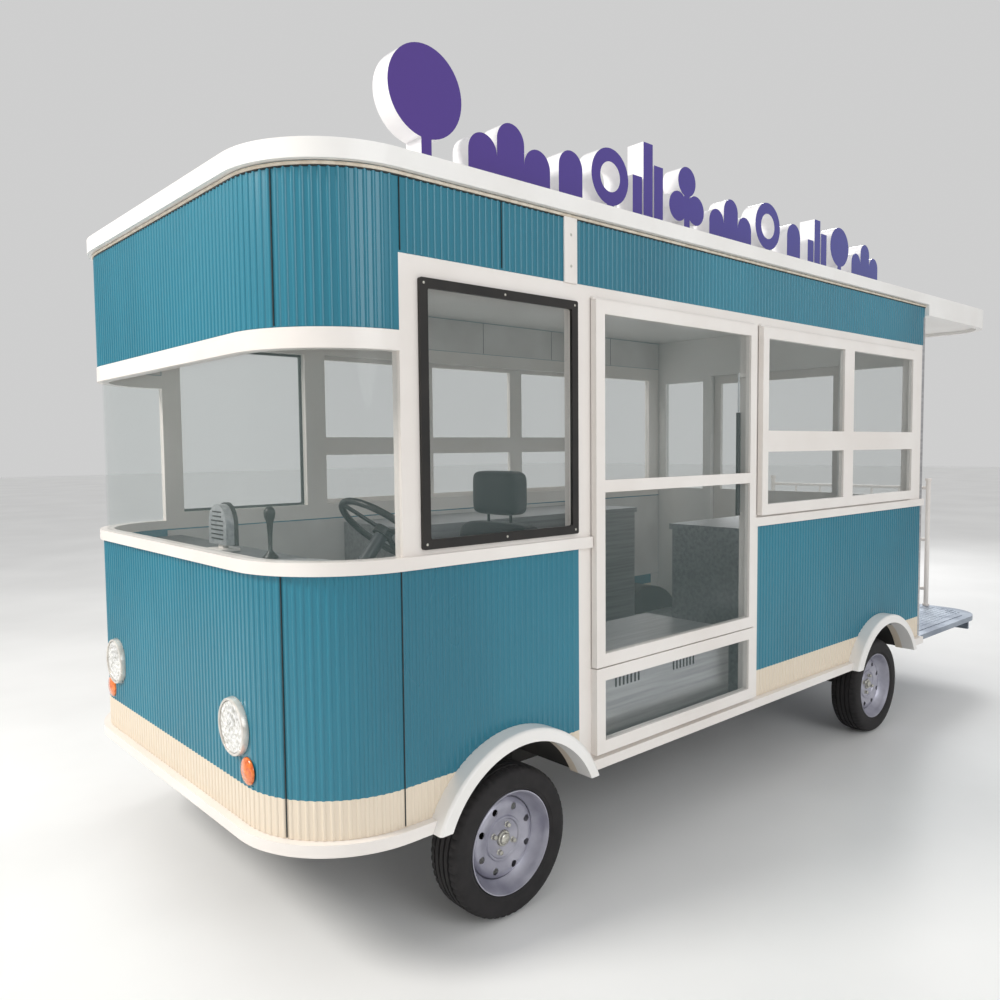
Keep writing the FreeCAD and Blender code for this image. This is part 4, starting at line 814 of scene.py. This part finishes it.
def arched_plate(thick, half_width, bottom, shoulder, x, geometry):
    """An upright plate with a half-round top, standing across the van."""
    outline_points = [(-half_width, bottom), (half_width, bottom)]
    for step in range(19):
        angle = math.pi * step / 18
        outline_points.append((half_width * math.cos(angle), shoulder + half_width * math.sin(angle)))
    front = [geometry.verts.new((x + thick / 2, MONITOR_Y + y, z)) for y, z in outline_points]
    rear = [geometry.verts.new((x - thick / 2, MONITOR_Y + y, z)) for y, z in outline_points]
    made = [geometry.faces.new(front), geometry.faces.new(list(reversed(rear)))]
    for number in range(len(front)):
        following = (number + 1) % len(front)
        made.append(geometry.faces.new((front[number], rear[number], rear[following], front[following])))
    bmesh.ops.recalc_face_normals(geometry, faces=made)
    return geometry


shell = arched_plate(0.034, MONITOR_HALF - 0.004, SHELF + 0.030, SHELF + 0.108, MONITOR_X + 0.008,
                     bmesh.new())
silver_plastic, tree, shader = new_material("silver_moulded_plastic", "#AEB0B3", 0.38, 0.35)
mottle(tree, shader, ("#A0A2A6", "#BDBFC1"), 45.0, rough=(0.3, 0.46), bump=0.0003)
add_mesh("monitor_shell", "van", silver_plastic, shell, 40)
surround = arched_plate(0.016, MONITOR_HALF, SHELF + 0.026, SHELF + 0.110, MONITOR_X - 0.017, bmesh.new())
for row in range(7):
    height = SHELF + 0.050 + row * 0.018
    width = 0.055 if row < 5 else 0.040
    block((MONITOR_X + 0.0235, MONITOR_Y - width, height),
          (MONITOR_X + 0.0270, MONITOR_Y + width, height + 0.006), 0.0, surround)
add_mesh("monitor_surround_and_vents", "van", black_satin, surround, 40)
foot = block((MONITOR_X - 0.045, MONITOR_Y - 0.060, SHELF + 0.0005),
             (MONITOR_X + 0.045, MONITOR_Y + 0.060, SHELF + 0.014), 0.004)
block((MONITOR_X - 0.014, MONITOR_Y - 0.022, SHELF + 0.010),
      (MONITOR_X + 0.014, MONITOR_Y + 0.022, SHELF + 0.034), 0.003, foot)
add_mesh("monitor_foot", "van", frame_white, foot, 40)
dial = lathe([(0, 0.0032), (0.130, 0.0032), (0.134, 0.0055), (0.140, 0.0055), (0.143, 0.0003), (0, 0.0003)],
             (FRONT_FACE - 0.300, 0.420, SHELF), (0, 0, 1), 56)
add_mesh("dash_dial_ring", "van", silver_plastic, dial, 40)

# Chequer plate. The platform's tread is rolled with short raised bars set alternately at a slant,
# about 30 mm apart, so that feet do not slip.
TREAD_PITCH, TREAD_LENGTH, TREAD_WIDTH, TREAD_RISE = 0.032, 0.0125, 0.0042, 0.0018


def build_tread_tree():
    """Sets a low slanting bar on every point, turned the other way on every second one."""
    group = bpy.data.node_groups.new("chequer_bars", "GeometryNodeTree")
    group.interface.new_socket("Points", in_out="INPUT", socket_type="NodeSocketGeometry")
    group.interface.new_socket("Slant", in_out="INPUT", socket_type="NodeSocketFloat")
    group.interface.new_socket("Finish", in_out="INPUT", socket_type="NodeSocketMaterial")
    group.interface.new_socket("Bars", in_out="OUTPUT", socket_type="NodeSocketGeometry")
    start, end = group.nodes.new("NodeGroupInput"), group.nodes.new("NodeGroupOutput")
    ball = add_node(group, "GeometryNodeMeshUVSphere", None, {"Segments": 8, "Rings": 4, "Radius": 1.0})
    bar = add_node(group, "GeometryNodeTransform", {"Geometry": ball.outputs["Mesh"]},
                   {"Scale": (TREAD_LENGTH, TREAD_WIDTH, TREAD_RISE)})
    order = group.nodes.new("GeometryNodeInputIndex")
    parity = add_node(group, "ShaderNodeMath", {0: order.outputs["Index"]}, {1: 2.0}, operation="MODULO")
    signed = add_node(group, "ShaderNodeMath", {0: parity.outputs[0]}, {1: 2.0, 2: -1.0},
                      operation="MULTIPLY_ADD")
    slant = add_node(group, "ShaderNodeMath", {0: signed.outputs[0], 1: start.outputs["Slant"]},
                     operation="MULTIPLY")
    turn_way = add_node(group, "ShaderNodeCombineXYZ", {"Z": slant.outputs[0]})
    bars = add_node(group, "GeometryNodeInstanceOnPoints",
                    {"Points": start.outputs["Points"], "Instance": bar.outputs["Geometry"],
                     "Rotation": turn_way.outputs["Vector"]})
    smooth = add_node(group, "GeometryNodeSetShadeSmooth", {"Geometry": bars.outputs["Instances"]})
    whole = add_node(group, "GeometryNodeRealizeInstances", {"Geometry": smooth.outputs["Geometry"]})
    coat = add_node(group, "GeometryNodeSetMaterial",
                    {"Geometry": whole.outputs["Geometry"], "Material": start.outputs["Finish"]})
    group.links.new(coat.outputs["Geometry"], end.inputs["Bars"])
    return group


deck_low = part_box("rear_platform")[0]
TREAD_BORDER, TREAD_CORNER = 0.072, 0.180
tread_low = (deck_low.x + TREAD_BORDER, -SIDE_FACE + TREAD_BORDER)
tread_high = (REAR_FACE - 0.045, SIDE_FACE - TREAD_BORDER)
across_count = 2 * int((tread_high[1] - tread_low[1]) / TREAD_PITCH / 2) + 1
points = []
for row in range(int((tread_high[0] - tread_low[0]) / TREAD_PITCH) + 1):
    for column in range(across_count):
        x, y = tread_low[0] + row * TREAD_PITCH, tread_low[1] + column * TREAD_PITCH
        past_end = max(0.0, tread_low[0] + TREAD_CORNER - x)
        past_side = max(0.0, abs(y) - (SIDE_FACE - TREAD_BORDER - TREAD_CORNER))
        if math.hypot(past_end, past_side) < TREAD_CORNER:
            points.append((x, y, 0.4702))
run_tree("chequer_plate_bars", build_tread_tree(), (points, []), "van", "tread_plate", Slant=math.radians(45),
         Finish=platform_alloy)

# Fridge vents. A row of upright vent openings sits low down on the cabinet's face. They are drawn as thin
# black blocks on that face: painted shade for the dark inside of each slot.
fridge_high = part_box("fridge_cabinet")[1]
slot_shade = bmesh.new()
for group_start in (0.10, 0.48):
    for number in range(7):
        x = fridge_high.x - group_start - number * 0.024
        block((x - 0.0045, fridge_high.y - 0.002, 0.690),
              (x + 0.0045, fridge_high.y + 0.0012, 0.765), 0.0, slot_shade)
add_mesh("fridge_vent_slot_painted_shade", "van", joint_black_and_shade, slot_shade)

# Wheel boxes. Folded steel over the wheels, in the same black as the chassis.
finish_node("wheel_boxes", chassis_black)
